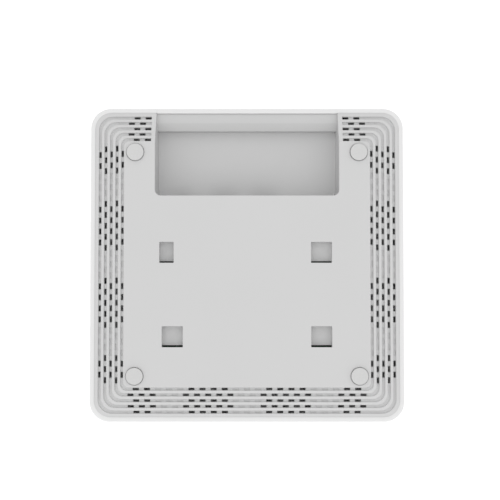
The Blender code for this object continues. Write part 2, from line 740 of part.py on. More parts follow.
def make_power_parts():
    case = 0.5 * MM
    for name, at, radius, height in (
        ("input_capacitor", (-42 * MM, 14 * MM), 5.0 * MM, 10.5 * MM),
        ("output_capacitor", (-29 * MM, 6 * MM), 4.0 * MM, 9.0 * MM),
    ):
        neck = 2.0 * MM
        profile = [
            (radius - case, 0.0),
            (radius, case),
            (radius, neck - case),
            (radius - case, neck),
            (radius, neck + case),
            (radius, height - case),
            (radius - case, height),
        ]
        shade_round(place(name, turned(profile, 20), "aluminium", (*at, PART_Z)))
    coil_size = (12 * MM, 12 * MM, 5.5 * MM)
    block("power_inductor", (-46 * MM, -3 * MM), coil_size, "ferrite", edge=0.8 * MM)
    core = (15 * MM, 15 * MM, 10.2 * MM)
    middle = (46 * MM, 16 * MM)
    transformer = block("poe_transformer", middle, core, "ferrite", edge=0.6 * MM)
    window = (11 * MM, 20 * MM, 4 * MM)
    cut(transformer, centred_box((*middle, PART_Z + 5 * MM), window))
    coil = centred_box((*middle, PART_Z + 5 * MM), (10.4 * MM, 17 * MM, 3.4 * MM))
    place("poe_transformer_coil", coil, "coil_tape")


def make_network_jack(name, middle_x):
    """A screened socket: steel shell, black insert with the plug's opening, and a contact comb."""
    back_y = SOCKET_FACE_Y - JACK_SIZE.y
    low = Vector((middle_x - JACK_SIZE.x / 2, back_y, PART_Z))
    high = low + JACK_SIZE
    shell = place(name + "_shell", box(low, high), "steel")
    sheet = JACK_SHEET
    cut(
        shell,
        box(
            (low.x + sheet, low.y + sheet, low.z - sheet),
            (high.x - sheet, high.y + sheet, high.z - sheet),
        ),
    )
    inset = sheet + GAP
    insert_low = Vector((low.x + inset, low.y + inset, low.z))
    insert_high = Vector((high.x - inset, high.y - GAP, high.z - inset))
    insert = place(name + "_insert", box(insert_low, insert_high), "socket_black")
    floor_z = low.z + PLUG_FLOOR
    end_y = insert_high.y - PLUG_DEPTH
    mouth_y = insert_high.y + PLUG_FLOOR
    half = PLUG_WIDTH / 2
    cavity = [(-half, floor_z), (half, floor_z)]
    roof_z = floor_z + PLUG_HEIGHT
    right = [(half, roof_z)]
    for width, height in LATCH_STEPS:
        right += [(width / 2, roof_z), (width / 2, roof_z + height)]
        roof_z += height
    cavity += right + [(-x, z) for x, z in reversed(right)]
    ends = [[(middle_x + x, y, z) for x, z in cavity] for y in (end_y, mouth_y)]
    cut(insert, loft(ends))
    make_contacts(name, middle_x, end_y + 3 * MM, floor_z + GAP)


def make_contacts(name, middle_x, back_y, floor_z):
    """Eight spring contacts in one comb: a bar near the mouth and fingers that rise inwards."""
    bar = 1.0 * MM
    front_y = back_y + CONTACT_LENGTH
    width = (CONTACTS - 1) * CONTACT_PITCH + CONTACT_WIDTH
    outline = [(width / 2, front_y), (-width / 2, front_y)]
    for contact in range(CONTACTS):
        low_x = contact * CONTACT_PITCH - width / 2
        high_x = low_x + CONTACT_WIDTH
        outline += [(low_x, front_y - bar), (low_x, back_y)]
        outline += [(high_x, back_y), (high_x, front_y - bar)]
    outline.pop(2)
    outline.pop()

    def height(y):
        return floor_z + CONTACT_RISE * (front_y - y) / CONTACT_LENGTH

    under = [(middle_x + x, y, height(y)) for x, y in outline]
    over = [(x, y, z + CONTACT_THICKNESS) for x, y, z in under]
    place(name + "_contacts", loft([under, over]), "brass")


def make_dc_jack():
    """The power inlet: a black body with a round bore, and the pin in the middle of the bore."""
    back_y = SOCKET_FACE_Y - DC_JACK_SIZE.y
    low = Vector((DC_JACK_X - DC_JACK_SIZE.x / 2, back_y, PART_Z))
    body = place("dc_jack_body", box(low, low + DC_JACK_SIZE), "socket_black")
    bottom_y = SOCKET_FACE_Y - DC_BORE_DEPTH
    axis = (DC_JACK_X, 0.0, PART_Z + DC_AXIS_HEIGHT)
    pin_hole = DC_PIN_RADIUS + GAP
    bore = [(pin_hole, back_y - GAP), (pin_hole, bottom_y), (DC_BORE_RADIUS, bottom_y)]
    bore.append((DC_BORE_RADIUS, SOCKET_FACE_Y + GAP))
    cut(body, moved(along_y(turned(bore)), axis))
    shade_round(body)
    tip_y = SOCKET_FACE_Y - 1.0 * MM
    point = 0.5 * MM
    radius = DC_PIN_RADIUS
    profile = [(radius, tip_y - DC_PIN_LENGTH), (radius, tip_y - point), (radius - point, tip_y)]
    pin = along_y(turned(profile, SMALL_ROUND_STEPS))
    shade_round(place("dc_jack_pin", pin, "steel", axis))


def make_reset_switch():
    """A sprung button that runs in the switch's bore, its end just inside the wall's hole."""
    back_y = RESET_BODY_FRONT_Y - RESET_BODY.y
    low = Vector((RESET_X - RESET_BODY.x / 2, back_y, PART_Z))
    body = place("reset_switch", box(low, low + RESET_BODY), "chip_black")
    axis = (RESET_X, 0.0, RESET_Z)
    stem_bore = RESET_BUTTON_RADIUS + RESET_RUNNING_GAP
    flange_bore = RESET_FLANGE_RADIUS + RESET_RUNNING_GAP
    bottom_y = RESET_BODY_FRONT_Y - RESET_STEM_DEPTH - RESET_TRAVEL - GAP
    shoulder_y = RESET_BODY_FRONT_Y - 0.5 * MM
    bore = [
        (flange_bore, bottom_y),
        (flange_bore, shoulder_y),
        (stem_bore, shoulder_y),
        (stem_bore, RESET_BODY_FRONT_Y + GAP),
    ]
    cut(body, moved(along_y(turned(bore)), axis))
    end_y = RESET_BODY_FRONT_Y - RESET_STEM_DEPTH
    flange_end = shoulder_y - GAP - end_y
    tip_y = SOCKET_FACE_Y + 0.2 * MM
    edge = 0.3 * MM
    profile = [
        (RESET_FLANGE_RADIUS, 0.0),
        (RESET_FLANGE_RADIUS, flange_end),
        (RESET_BUTTON_RADIUS, flange_end),
        (RESET_BUTTON_RADIUS, tip_y - end_y - edge),
        (RESET_BUTTON_RADIUS - edge, tip_y - end_y),
    ]
    button = along_y(turned(profile))
    shade_round(place("reset_button", button, "button_grey", (RESET_X, end_y, RESET_Z)))


def make_lamp():
    """The status lamp under the board, and the clear pipe that leads its light to the front."""
    height = 1.1 * MM
    middle = (0, LAMP_Y, UNDER_PART_Z - height / 2)
    place("status_lamp", centred_box(middle, (3.2 * MM, 2.8 * MM, height)), "lamp")
    radius = LIGHT_PIPE_RADIUS
    flange_z = COVER_SKIN + GAP
    profile = [
        (radius - 0.2 * MM, 0.1 * MM),
        (radius, 0.3 * MM),
        (radius, flange_z),
        (LIGHT_PIPE_FLANGE, flange_z),
        (LIGHT_PIPE_FLANGE, flange_z + 1.2 * MM),
        (radius, flange_z + 1.2 * MM),
        (radius, UNDER_PART_Z - height - GAP),
    ]
    pipe = turned(profile, SMALL_ROUND_STEPS)
    shade_round(place("light_pipe", pipe, "clear_plastic", (0, LAMP_Y, 0)))


def make_antenna(name, middle, length, along):
    """A stamped strip on two legs under the board, with its arm bent over at the bottom."""
    half = length / 2
    leg = 2.0 * MM
    gap = 4.0 * MM
    arm = 2.0 * MM
    top, bottom = ANTENNA_FOOT_Z, ANTENNA_ARM_Z
    outline = [
        (-half, bottom),
        (half, bottom),
        (half, bottom + arm),
        (-half + 2 * leg + gap, bottom + arm),
        (-half + 2 * leg + gap, top),
        (-half + leg + gap, top),
        (-half + leg + gap, bottom + arm),
        (-half + leg, bottom + arm),
        (-half + leg, top),
        (-half, top),
    ]
    sheet = ANTENNA_SHEET / 2
    x, y = middle
    if along == "y":
        faces = [[(x + side, y + a, z) for a, z in outline] for side in (-sheet, sheet)]
        inward = -math.copysign(ANTENNA_FLANGE, x)
        low_x, high_x = sorted((x - math.copysign(sheet, inward), x + inward))
        flange = box((low_x, y - half, bottom), (high_x, y + half, bottom + ANTENNA_SHEET))
    else:
        faces = [[(x + a, y + side, z) for a, z in outline] for side in (-sheet, sheet)]
        low = (x - half, y - sheet, bottom)
        flange = box(low, (x + half, y + ANTENNA_FLANGE, bottom + ANTENNA_SHEET))
    antenna = place(name, loft(faces), "brass")
    join(antenna, flange)


def make_antennas():
    for side, name in ((-1, "left"), (1, "right")):
        make_antenna("antenna_2_4ghz_" + name, (side * 60 * MM, -24 * MM), 28 * MM, "y")
        make_antenna("antenna_5ghz_" + name, (side * 34 * MM, -60 * MM), 16 * MM, "x")


def main():
    clear_scene()
    make_front_cover()
    make_back_casing()
    make_feet()
    make_screws()
    make_board()
    make_chips()
    make_radio("left", (-49 * MM, -24 * MM))
    make_radio("right", (49 * MM, -24 * MM))
    make_heat_sink()
    make_power_parts()
    for name, middle_x in NETWORK_JACKS.items():
        make_network_jack(name, middle_x)
    make_dc_jack()
    make_reset_switch()
    make_lamp()
    make_antennas()


main()
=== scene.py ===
"""Looks of a ceiling access point, in metres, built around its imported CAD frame.

It lies on its front cover with its mounting face up (+Z), and its cable recess opens at the +Y
edge, called the upper edge here. Left is -X and right is +X.
"""

import math

import bmesh
import bpy
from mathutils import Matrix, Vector


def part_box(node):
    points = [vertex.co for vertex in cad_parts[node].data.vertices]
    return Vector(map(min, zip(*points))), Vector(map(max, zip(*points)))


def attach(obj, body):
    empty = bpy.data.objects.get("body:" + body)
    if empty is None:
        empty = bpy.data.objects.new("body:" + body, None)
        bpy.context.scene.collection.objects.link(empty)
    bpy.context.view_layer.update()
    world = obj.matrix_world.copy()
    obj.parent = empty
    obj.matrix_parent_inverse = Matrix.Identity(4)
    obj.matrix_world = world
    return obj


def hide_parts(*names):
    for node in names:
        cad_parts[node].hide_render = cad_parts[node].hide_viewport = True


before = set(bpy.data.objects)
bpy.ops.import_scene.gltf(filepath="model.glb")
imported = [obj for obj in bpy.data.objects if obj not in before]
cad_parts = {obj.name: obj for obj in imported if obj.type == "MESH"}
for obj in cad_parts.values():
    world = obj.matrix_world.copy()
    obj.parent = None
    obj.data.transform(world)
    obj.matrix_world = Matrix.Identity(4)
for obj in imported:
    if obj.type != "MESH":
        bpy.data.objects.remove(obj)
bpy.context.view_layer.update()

MM = 0.001
OVER = 1.0 * MM  # how far a cutter runs past the surface that it opens

# Sizes read from the frame
CASING_LOW, CASING_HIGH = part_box("back_casing")
COVER_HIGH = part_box("front_cover")[1]
BACK_Z = CASING_HIGH.z
COVER_HALF = COVER_HIGH.x
COVER_TOP_Z = COVER_HIGH.z
PART_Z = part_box("poe_jack_shell")[0].z

# Front cover, a shallow square tray
COVER_CORNER = 12.5 * MM
COVER_SKIN = 2.2 * MM
COVER_EDGE = 14.0 * MM  # radius of the round edge between the front face and the side walls
COVER_EDGE_STEPS = 16
OUTER_CORNER_LOSS = 0.35  # how much tighter a corner gets for each unit inwards, outside
INNER_CORNER_LOSS = 0.5  # and inside
COVER_WALL = 3.5 * MM
LEDGE_Z = 20.7 * MM
LIP_ROUND = 1.3 * MM
LIP_SLOPE_RUN = 0.8 * MM  # the lip slopes down to the height of the casing's edge
LIP_SLOPE_FALL = 0.25 * MM
COVER_INNER_HALF = 94.25 * MM
EDGE_SHIFT = 0.15 * MM  # the casing's edge and the lip around it sit this much towards +Y
LIP_CORNER_LOSS = 2.5 * MM  # the lip's inner corner is this much tighter than its outer one

# Back casing: a flat plate and a sloping border with grooves
SEAM = 0.02 * MM  # visible gap between the casing's edge and the cover's lip
CASING_HALF = COVER_INNER_HALF - SEAM
CASING_WALL = 2.6 * MM
CASING_EDGE = 0.15 * MM
PLATE_HALF = 75.2 * MM
PLATE_CORNER = 3.2 * MM
PLATE_BLEND = 0.5 * MM  # half the width over which the plate turns into the border
BORDER_SLOPE = 0.426  # drop for each unit outwards
CORNER_GROWTH = 1.0 / 3.0  # the corner radius grows this much for each unit outwards
SKIRT_BOTTOM_Z = 21.0 * MM
SKIRT_WALL = 2.0 * MM

# Grooves and slots of the border
GROOVES = 5
FIRST_GROOVE_HALF = 76.6 * MM
GROOVE_PITCH = 3.58 * MM
GROOVE_MOUTH = 1.9 * MM
GROOVE_FLOOR = 1.6 * MM
GROOVE_DEPTH = 1.5 * MM
GROOVE_MOUTH_ROUND = 0.25 * MM
GROOVE_FOOT_ROUND = 0.45 * MM
GROOVE_STOP_X = 59.0 * MM  # the upper side's grooves end here, beside the cable recess
GROOVE_END = 0.3 * MM
SLOT_PITCH = 6.8 * MM
SLOT_LENGTH = 3.7 * MM
SLOT_WIDTH = 1.45 * MM
SLOT_CORNER = 0.2 * MM
EVEN_ROW_SLOTS = (2, 3, 4, 5, 9, 10)  # slot pitches from the middle of a side
ODD_ROW_SLOTS = (1.5, 2.5, 3.5, 4.5, 5.5, 8.5, 9.5, 10.5)
EVEN_ROW_BLIND = (0, 1, 6, 7, 8)  # shallow dimples between the groups of open slots
ODD_ROW_BLIND = (0.5, 6.5, 7.5)
BLIND_DEPTH = 0.4 * MM  # below the groove's floor
UPPER_SIDE_FIRST_SLOT = 9

# Cable recess
RECESS_HALF = 56.7 * MM
RECESS_INNER_Y = 42.0 * MM
RECESS_OUTER_Y = 83.6 * MM
RECESS_FLOOR_Z = 13.0 * MM
RECESS_DRAFT = math.tan(math.radians(3.4))
RECESS_CORNER = 3.5 * MM
RECESS_CORNER_STEPS = 10
RECESS_FLOOR_ROUND = 0.3 * MM
RECESS_WALL = 2.2 * MM
# Painted shade in the cable recess: the colour of its faces is multiplied darker, most on its walls
RECESS_SHADE_MARK = "painted_recess_shade"
RECESS_PAINTED_SHADE = 0.84  # colour factor of the painted shade on the recess's walls
SILL_MARK = 0.75  # share of that painted shade on the steep part of the sill
FLAT_MARK = 0.41  # and on the floor and the rest of the sill
MOUTH_GAP = 0.12 * MM  # between the sill's end and the cover's lip
LIP_REACH = 0.3 * MM  # how much further in the lip comes at the recess's mouth
RIM_ROUND = 0.25 * MM
SILL_INNER_Z = 19.8 * MM
SILL_BREAK = Vector((88.1, 23.2)) * MM  # (Y, Z) where the sill turns from steep to nearly level
SILL_OUTER_Z = 23.6 * MM

# Hook pockets: middle of the opening and its width
POCKETS = (
    (-49.4 * MM, 7.0 * MM, 8.8 * MM),
    (45.7 * MM, 7.0 * MM, 12.8 * MM),
    (-45.7 * MM, -44.7 * MM, 12.9 * MM),
    (45.7 * MM, -44.7 * MM, 12.8 * MM),
)
POCKET_HEIGHT = 12.8 * MM
POCKET_DEPTH = 6.0 * MM
POCKET_WALL = 1.5 * MM
POCKET_SLIT = 1.25 * MM  # the floor stops this far short of the lip
POCKET_REACH = 4.5 * MM  # how far a hook slides under the lip
POCKET_ROUND = 0.3 * MM
POCKET_RIM_ROUND = 0.2 * MM

# Feet and the bosses under them
FOOT_OFFSET = 68.8 * MM
FOOT_RADIUS = 5.2 * MM
FOOT_TOP_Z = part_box("foot_upper_left")[1].z
FOOT_SEAT_DEPTH = 1.2 * MM
FOOT_SEAT_GAP = 0.4 * MM
FOOT_EDGE = 0.35 * MM
BOSS_RADIUS = 4.5 * MM
BOSS_END_Z = 15.9 * MM
COVER_BOSS_RADIUS = 4.0 * MM
COVER_BOSS_END_Z = 15.6 * MM
BOARD_BOSS_RADIUS = 3.0 * MM
BOARD_BOSS_END_Z = 12.1 * MM
BOARD_SCREWS = ((-57, -57), (57, -57), (-57, 32), (57, 32))  # in millimetres
SCREW_SEAT_Z = 21.0 * MM
SCREW_HEAD_HOLE = 3.1 * MM
SCREW_HOLE = 1.75 * MM
PILOT_RADIUS = 1.5 * MM
PILOT_BOTTOM_Z = 4.5 * MM
LAMP_Y = -52.0 * MM
LAMP_HOLE = 1.8 * MM

# Sockets
SOCKET_FACE_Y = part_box("poe_jack_shell")[1].y
JACKS = {"poe_jack": -14.0 * MM, "lan_jack": 10.0 * MM}
SOCKET_HOLE_CORNER = 0.6 * MM  # of the casing's openings for them
JACK_SIZE = Vector((16.0, 21.3, 13.4)) * MM
JACK_SHEET = 0.4 * MM
GAP = 0.3 * MM  # usual clearance between two pieces
PLUG_WIDTH = 11.9 * MM
PLUG_DEPTH = 14.0 * MM
PLUG_FLOOR = 1.3 * MM
PLUG_HEIGHT = 7.2 * MM
LATCH_STEPS = ((6.2 * MM, 1.5 * MM), (3.5 * MM, 1.3 * MM))
CONTACTS = 8
CONTACT_PITCH = 1.02 * MM
WIRE_RADIUS = 0.2 * MM
DC_JACK_X = -40.0 * MM
DC_JACK_SIZE = Vector((9.0, 14.0, 11.0)) * MM
DC_BORE_RADIUS = 3.1 * MM
DC_BORE_DEPTH = 10.0 * MM
DC_AXIS_HEIGHT = 6.5 * MM
RESET_X = 34.0 * MM
RESET_Z = 17.6 * MM
RESET_HOLE_RADIUS = 1.75 * MM

# Light: how bright the surround is at the sides and overhead, and how much more it is on -Y
SKY_SIDE = 0.85
SKY_ABOVE = 1.08
SKY_TILT = 0.10
HAZE = 0.3  # how much brighter the horizon itself is
HAZE_TOP = 0.12  # sine of the height at which that ends
FLOOR_ALBEDO = 0.8
FLOOR_GLOW = 0.35

# Camera
LENS = 100.8  # in millimetres, on a sensor 36 mm wide
LENS_SHIFT = (0.006, 0.0248)
CAMERA_ELEVATION = math.radians(86.947)
CAMERA_DISTANCE = 0.858
CAMERA_AIM = Vector((0.0, 0.0008, BACK_Z))

CORNER_STEPS = 24
EDGE_STEPS = 4
ROUND_STEPS = 64
SMOOTH_ANGLE = math.radians(40)


# ---------------------------------------------------------------- mesh tools


def piece(name, shape, material, at=(0.0, 0.0, 0.0)):
    """Turns a bmesh into an object whose faces point out."""
    bmesh.ops.recalc_face_normals(shape, faces=shape.faces)
    mesh = bpy.data.meshes.new(name)
    shape.to_mesh(mesh)
    shape.free()
    obj = bpy.data.objects.new(name, mesh)
    obj.location = at
    mesh.materials.append(material)
    bpy.context.scene.collection.objects.link(obj)
    return obj


def combine(obj, shape, operation):
    """Joins a shape to an object or cuts it away, and keeps the result."""
    tool = piece("tool", shape, obj.data.materials[0])
    modifier = obj.modifiers.new("combine", "BOOLEAN")
    modifier.operation = operation
    modifier.solver = "MANIFOLD"
    modifier.object = tool
    graph = bpy.context.evaluated_depsgraph_get()
    before = obj.data
    result = bpy.data.meshes.new_from_object(obj.evaluated_get(graph))
    obj.modifiers.clear()
    obj.data = result
    result.name = obj.name
    bpy.data.meshes.remove(before)
    bpy.data.objects.remove(tool, do_unlink=True)


def join(obj, shape):
    combine(obj, shape, "UNION")


def cut(obj, shape):
    combine(obj, shape, "DIFFERENCE")


def smooth(obj):
    """Round faces are shaded smooth, and flat ones stay flat up to their rounded edges."""
    obj.data.shade_smooth()
    obj.data.set_sharp_from_angle(angle=SMOOTH_ANGLE)
    normals = obj.modifiers.new("normals", "WEIGHTED_NORMAL")
    normals.keep_sharp = True
    return obj


def box(low, high):
    shape = bmesh.new()
    bmesh.ops.create_cube(shape, size=1.0)
    low, high = Vector(low), Vector(high)
    bmesh.ops.scale(shape, vec=high - low, verts=shape.verts)
    bmesh.ops.translate(shape, vec=(low + high) / 2, verts=shape.verts)
    return shape


def bevel(shape, edges, radius, segments=EDGE_STEPS):
    bmesh.ops.bevel(
        shape,
        geom=edges,
        offset=radius,
        segments=segments,
        profile=0.5,
        affect="EDGES",
        offset_type="OFFSET",
    )
    return shape


def loft(rings, closed=False, shape=None):
    """Faces between rings of equal length. The end rings are capped, or joined if closed."""
    shape = shape or bmesh.new()
    rows = [[shape.verts.new(point) for point in ring] for ring in rings]
    pairs = list(zip(rows, rows[1:]))
    if closed:
        pairs.append((rows[-1], rows[0]))
    else:
        shape.faces.new(rows[0])
        shape.faces.new(rows[-1])
    for lower, upper in pairs:
        for i in range(len(lower)):
            j = (i + 1) % len(lower)
            shape.faces.new((lower[i], lower[j], upper[j], upper[i]))
    return shape


def moved(shape, offset):
    bmesh.ops.translate(shape, vec=offset, verts=shape.verts)
    return shape


def turned(profile, steps=ROUND_STEPS):
    """A shape turned about Z from (radius, height) points."""
    angles = [2 * math.pi * i / steps for i in range(steps)]
    rings = [[(r * math.cos(a), r * math.sin(a), z) for a in angles] for r, z in profile]
    return loft(rings)


def along_y(shape):
    """Lays a shape that was turned about Z along +Y."""
    for vert in shape.verts:
        vert.co = Vector((vert.co.x, vert.co.z, -vert.co.y))
    return shape


def rod(radius, low, high, at):
    return moved(turned([(radius, low), (radius, high)]), (at[0], at[1], 0.0))


def arc(middle, radius, start, end, steps=EDGE_STEPS):
    """Points on an arc, from one angle to another, in degrees."""
    angles = [math.radians(start + (end - start) * i / steps) for i in range(steps + 1)]
    return [(middle[0] + radius * math.cos(a), middle[1] + radius * math.sin(a)) for a in angles]


def square_ring(half, corner, height, stops=()):
    """A square with round corners. The upper side has four more points at each of the stops."""
    points = []
    middle = half - corner
    for quarter, (sx, sy) in enumerate(((1, 1), (-1, 1), (-1, -1), (1, -1))):
        for step in range(CORNER_STEPS + 1):
            angle = (quarter + step / CORNER_STEPS) * math.pi / 2
            x = sx * middle + corner * math.cos(angle)
            y = sy * middle + corner * math.sin(angle)
            points.append((x, y, height))
        if stops and quarter == 0:
            points += [(x, half, height) for x in reversed(stops)]
            points += [(-x, half, height) for x in stops]
    return points


def shifted(ring):
    """The ring moved to where the casing's edge sits in the cover."""
    return [(x, y + EDGE_SHIFT, z) for x, y, z in ring]


def corner_places(offset):
    return {
        "upper_left": (-offset, offset),
        "upper_right": (offset, offset),
        "lower_left": (-offset, -offset),
        "lower_right": (offset, -offset),
    }


# ---------------------------------------------------------------- materials


class Surface:
    """A Principled material and short ways to add patterns in the object's own coordinates."""

    def __init__(self, name, colour, roughness, metallic=0.0, **inputs):
        self.material = bpy.data.materials.new(name)
        self.material.use_nodes = True
        self.nodes = self.material.node_tree.nodes
        self.links = self.material.node_tree.links
        self.shader = self.nodes["Principled BSDF"]
        self.shader.inputs["Base Color"].default_value = (*colour, 1.0)
        self.shader.inputs["Roughness"].default_value = roughness
        self.shader.inputs["Metallic"].default_value = metallic
        for socket, value in inputs.items():
            self.shader.inputs[socket.replace("_", " ")].default_value = value
        self.colour = colour
        self.place = self.nodes.new("ShaderNodeTexCoord").outputs["Object"]
        self.height = None

    def stretched(self, scale):
        mapping = self.nodes.new("ShaderNodeMapping")
        mapping.inputs["Scale"].default_value = scale
        self.links.new(self.place, mapping.inputs["Vector"])
        return mapping.outputs["Vector"]

    def noise(self, size, detail=2.0, stretch=None):
        """Noise between 0 and 1 whose features are about size metres wide."""
        node = self.nodes.new("ShaderNodeTexNoise")
        node.inputs["Scale"].default_value = 1.0 / size
        node.inputs["Detail"].default_value = detail
        self.links.new(self.stretched(stretch) if stretch else self.place, node.inputs["Vector"])
        return node.outputs["Fac"]

    def ranged(self, value, low, high, start=0.3, end=0.7):
        """The value spread between low and high."""
        node = self.nodes.new("ShaderNodeMapRange")
        self.links.new(value, node.inputs["Value"])
        sockets = ("From Min", "From Max", "To Min", "To Max")
        for socket, number in zip(sockets, (start, end, low, high)):
            node.inputs[socket].default_value = number
        return node.outputs["Result"]

    def mixed(self, value, first, second):
        """The first colour where the value is 0, and the second where it is 1."""
        node = self.nodes.new("ShaderNodeMix")
        node.data_type = "RGBA"
        self.links.new(value, node.inputs["Factor"])
        node.inputs["A"].default_value = (*first, 1.0)
        node.inputs["B"].default_value = (*second, 1.0)
        return node.outputs["Result"]

    def paint(self, colour):
        self.links.new(colour, self.shader.inputs["Base Color"])

    def tint(self, value, change):
        """Makes the base colour lighter and darker by a share of itself."""
        low = [channel * (1 - change) for channel in self.colour]
        high = [min(1.0, channel * (1 + change)) for channel in self.colour]
        self.paint(self.mixed(self.ranged(value, 0.0, 1.0), low, high))

    def gloss(self, value, low, high):
        self.links.new(self.ranged(value, low, high), self.shader.inputs["Roughness"])

    def relief(self, value, height, strength=1.0):
        """Raises the surface by up to height metres where the value is 1."""
        node = self.nodes.new("ShaderNodeBump")
        node.inputs["Strength"].default_value = strength
        node.inputs["Distance"].default_value = height
        self.links.new(value, node.inputs["Height"])
        if self.height:
            self.links.new(self.height, node.inputs["Normal"])
        self.height = node.outputs["Normal"]
        self.links.new(self.height, self.shader.inputs["Normal"])


def cover_plastic():
    """Smooth white shell: a soft gloss, very slight flow marks and orange peel."""
    surface = Surface("cover_plastic", (0.80, 0.80, 0.80), 0.34)
    surface.tint(surface.noise(60 * MM), 0.006)
    surface.gloss(surface.noise(9 * MM, 3.0), 0.31, 0.38)
    surface.relief(surface.noise(2.2 * MM), 0.006 * MM)
    return surface.material


def casing_plastic():
    """Light grey shell with a fine spark-eroded grain. The cable recess has painted shade: its
    colour is multiplied darker.
    """
    surface = Surface("casing_plastic", (0.64, 0.64, 0.64), 0.52)
    surface.tint(surface.noise(45 * MM), 0.006)
    shell = surface.shader.inputs["Base Color"].links[0].from_socket
    # painted shade: the recess's marked faces are multiplied darker by their share
    recess = surface.nodes.new("ShaderNodeAttribute")
    recess.attribute_name = RECESS_SHADE_MARK
    darker = surface.nodes.new("ShaderNodeMix")
    darker.data_type = "RGBA"
    darker.blend_type = "MULTIPLY"
    surface.links.new(recess.outputs["Fac"], darker.inputs["Factor"])
    surface.links.new(shell, darker.inputs["A"])
    darker.inputs["B"].default_value = (RECESS_PAINTED_SHADE, RECESS_PAINTED_SHADE, RECESS_PAINTED_SHADE, 1.0)
    surface.paint(darker.outputs["Result"])
    surface.gloss(surface.noise(1.2 * MM, 3.0), 0.48, 0.58)
    surface.relief(surface.noise(0.45 * MM, 3.0), 0.02 * MM, 0.6)
    return surface.material


def foot_rubber():
    surface = Surface("foot_rubber", (0.643, 0.643, 0.64), 0.75)
    surface.tint(surface.noise(1.5 * MM, 4.0), 0.02)
    surface.gloss(surface.noise(0.8 * MM, 3.0), 0.68, 0.82)
    surface.relief(surface.noise(0.35 * MM, 4.0), 0.03 * MM, 0.7)
    return surface.material


def sheet_steel():
    """Plated sheet: rolling lines along one way, and slightly cloudy plating."""
    surface = Surface("sheet_steel", (0.56, 0.56, 0.57), 0.28, 1.0)
    surface.tint(surface.noise(3 * MM, 3.0), 0.05)
    surface.gloss(surface.noise(0.6 * MM, 3.0, (1, 30, 1)), 0.22, 0.36)
    surface.relief(surface.noise(0.5 * MM, 2.0, (1, 40, 1)), 0.004 * MM)
    return surface.material


def screw_steel():
    surface = Surface("screw_steel", (0.52, 0.52, 0.53), 0.3, 1.0)
    surface.tint(surface.noise(1.2 * MM, 4.0), 0.10)
    surface.gloss(surface.noise(0.7 * MM, 4.0), 0.24, 0.42)
    return surface.material


def extruded_aluminium():
    """Aluminium with the fine die lines of an extrusion along Y."""
    surface = Surface("extruded_aluminium", (0.75, 0.75, 0.76), 0.4, 1.0)
    surface.tint(surface.noise(2 * MM, 3.0, (1, 0.1, 1)), 0.04)
    surface.gloss(surface.noise(0.4 * MM, 3.0, (1, 0.02, 1)), 0.32, 0.48)
    surface.relief(surface.noise(0.25 * MM, 2.0, (1, 0.02, 1)), 0.01 * MM)
    return surface.material


def drawn_aluminium():
    surface = Surface("drawn_aluminium", (0.72, 0.72, 0.74), 0.32, 1.0)
    surface.tint(surface.noise(1.5 * MM, 3.0), 0.04)
    surface.gloss(surface.noise(0.5 * MM, 3.0, (1, 1, 0.05)), 0.26, 0.40)
    return surface.material


def gold_plate():
    surface = Surface("gold_plate", (0.83, 0.62, 0.26), 0.24, 1.0)
    surface.tint(surface.noise(0.8 * MM, 3.0), 0.06)
    surface.gloss(surface.noise(0.4 * MM, 3.0), 0.18, 0.32)
    return surface.material


def antenna_brass():
    surface = Surface("antenna_brass", (0.76, 0.58, 0.26), 0.32, 1.0)
    surface.tint(surface.noise(4 * MM, 4.0), 0.08)
    surface.gloss(surface.noise(0.5 * MM, 3.0, (1, 1, 20)), 0.26, 0.42)
    return surface.material


def board_laminate():
    """Green solder mask over copper tracks, with a weave that shows faintly."""
    surface = Surface("board_laminate", (0.02, 0.11, 0.05), 0.4)
    bricks = surface.nodes.new("ShaderNodeTexBrick")
    bricks.inputs["Scale"].default_value = 1.0 / (11 * MM)
    bricks.inputs["Mortar Size"].default_value = 0.035
    bricks.inputs["Mortar Smooth"].default_value = 0.1
    bricks.inputs["Color1"].default_value = (0.0, 0.0, 0.0, 1.0)
    bricks.inputs["Color2"].default_value = (0.0, 0.0, 0.0, 1.0)
    bricks.inputs["Mortar"].default_value = (1.0, 1.0, 1.0, 1.0)
    surface.links.new(surface.place, bricks.inputs["Vector"])
    tracks = bricks.outputs["Color"]
    surface.paint(surface.mixed(tracks, (0.018, 0.10, 0.045), (0.045, 0.20, 0.085)))
    surface.gloss(surface.noise(1.0 * MM, 3.0), 0.32, 0.46)
    surface.relief(tracks, 0.03 * MM)
    surface.relief(surface.noise(0.5 * MM, 2.0), 0.006 * MM)
    return surface.material


def moulded_black(name, colour, low, high, grain):
    """Black plastic or resin with a matte grain of the given size."""
    surface = Surface(name, colour, (low + high) / 2)
    surface.tint(surface.noise(2.5 * MM, 3.0), 0.15)
    surface.gloss(surface.noise(0.9 * MM, 3.0), low, high)
    surface.relief(surface.noise(grain, 3.0), 0.01 * MM)
    return surface.material


def silicone_pad():
    surface = Surface("silicone_pad", (0.35, 0.42, 0.55), 0.8)
    surface.tint(surface.noise(0.9 * MM, 5.0), 0.10)
    surface.relief(surface.noise(0.7 * MM, 4.0), 0.04 * MM)
    return surface.material


def coil_tape():
    """Yellow tape wound round the coil, with its overlapping edges across Y."""
    surface = Surface("coil_tape", (0.60, 0.45, 0.05), 0.35)
    wave = surface.nodes.new("ShaderNodeTexWave")
    wave.bands_direction = "Y"
    wave.wave_profile = "SAW"
    wave.inputs["Scale"].default_value = 90.0
    wave.inputs["Distortion"].default_value = 0.4
    surface.links.new(surface.place, wave.inputs["Vector"])
    bands = wave.outputs["Fac"]
    surface.paint(surface.mixed(bands, (0.50, 0.37, 0.04), (0.66, 0.50, 0.07)))
    surface.gloss(surface.noise(1.0 * MM), 0.30, 0.45)
    surface.relief(bands, 0.05 * MM)
    return surface.material


def clear_plastic():
    surface = Surface("clear_plastic", (0.92, 0.94, 0.95), 0.12, Transmission_Weight=0.75, IOR=1.49)
    surface.gloss(surface.noise(1.0 * MM, 3.0), 0.08, 0.18)
    surface.relief(surface.noise(1.5 * MM, 2.0), 0.01 * MM)
    return surface.material


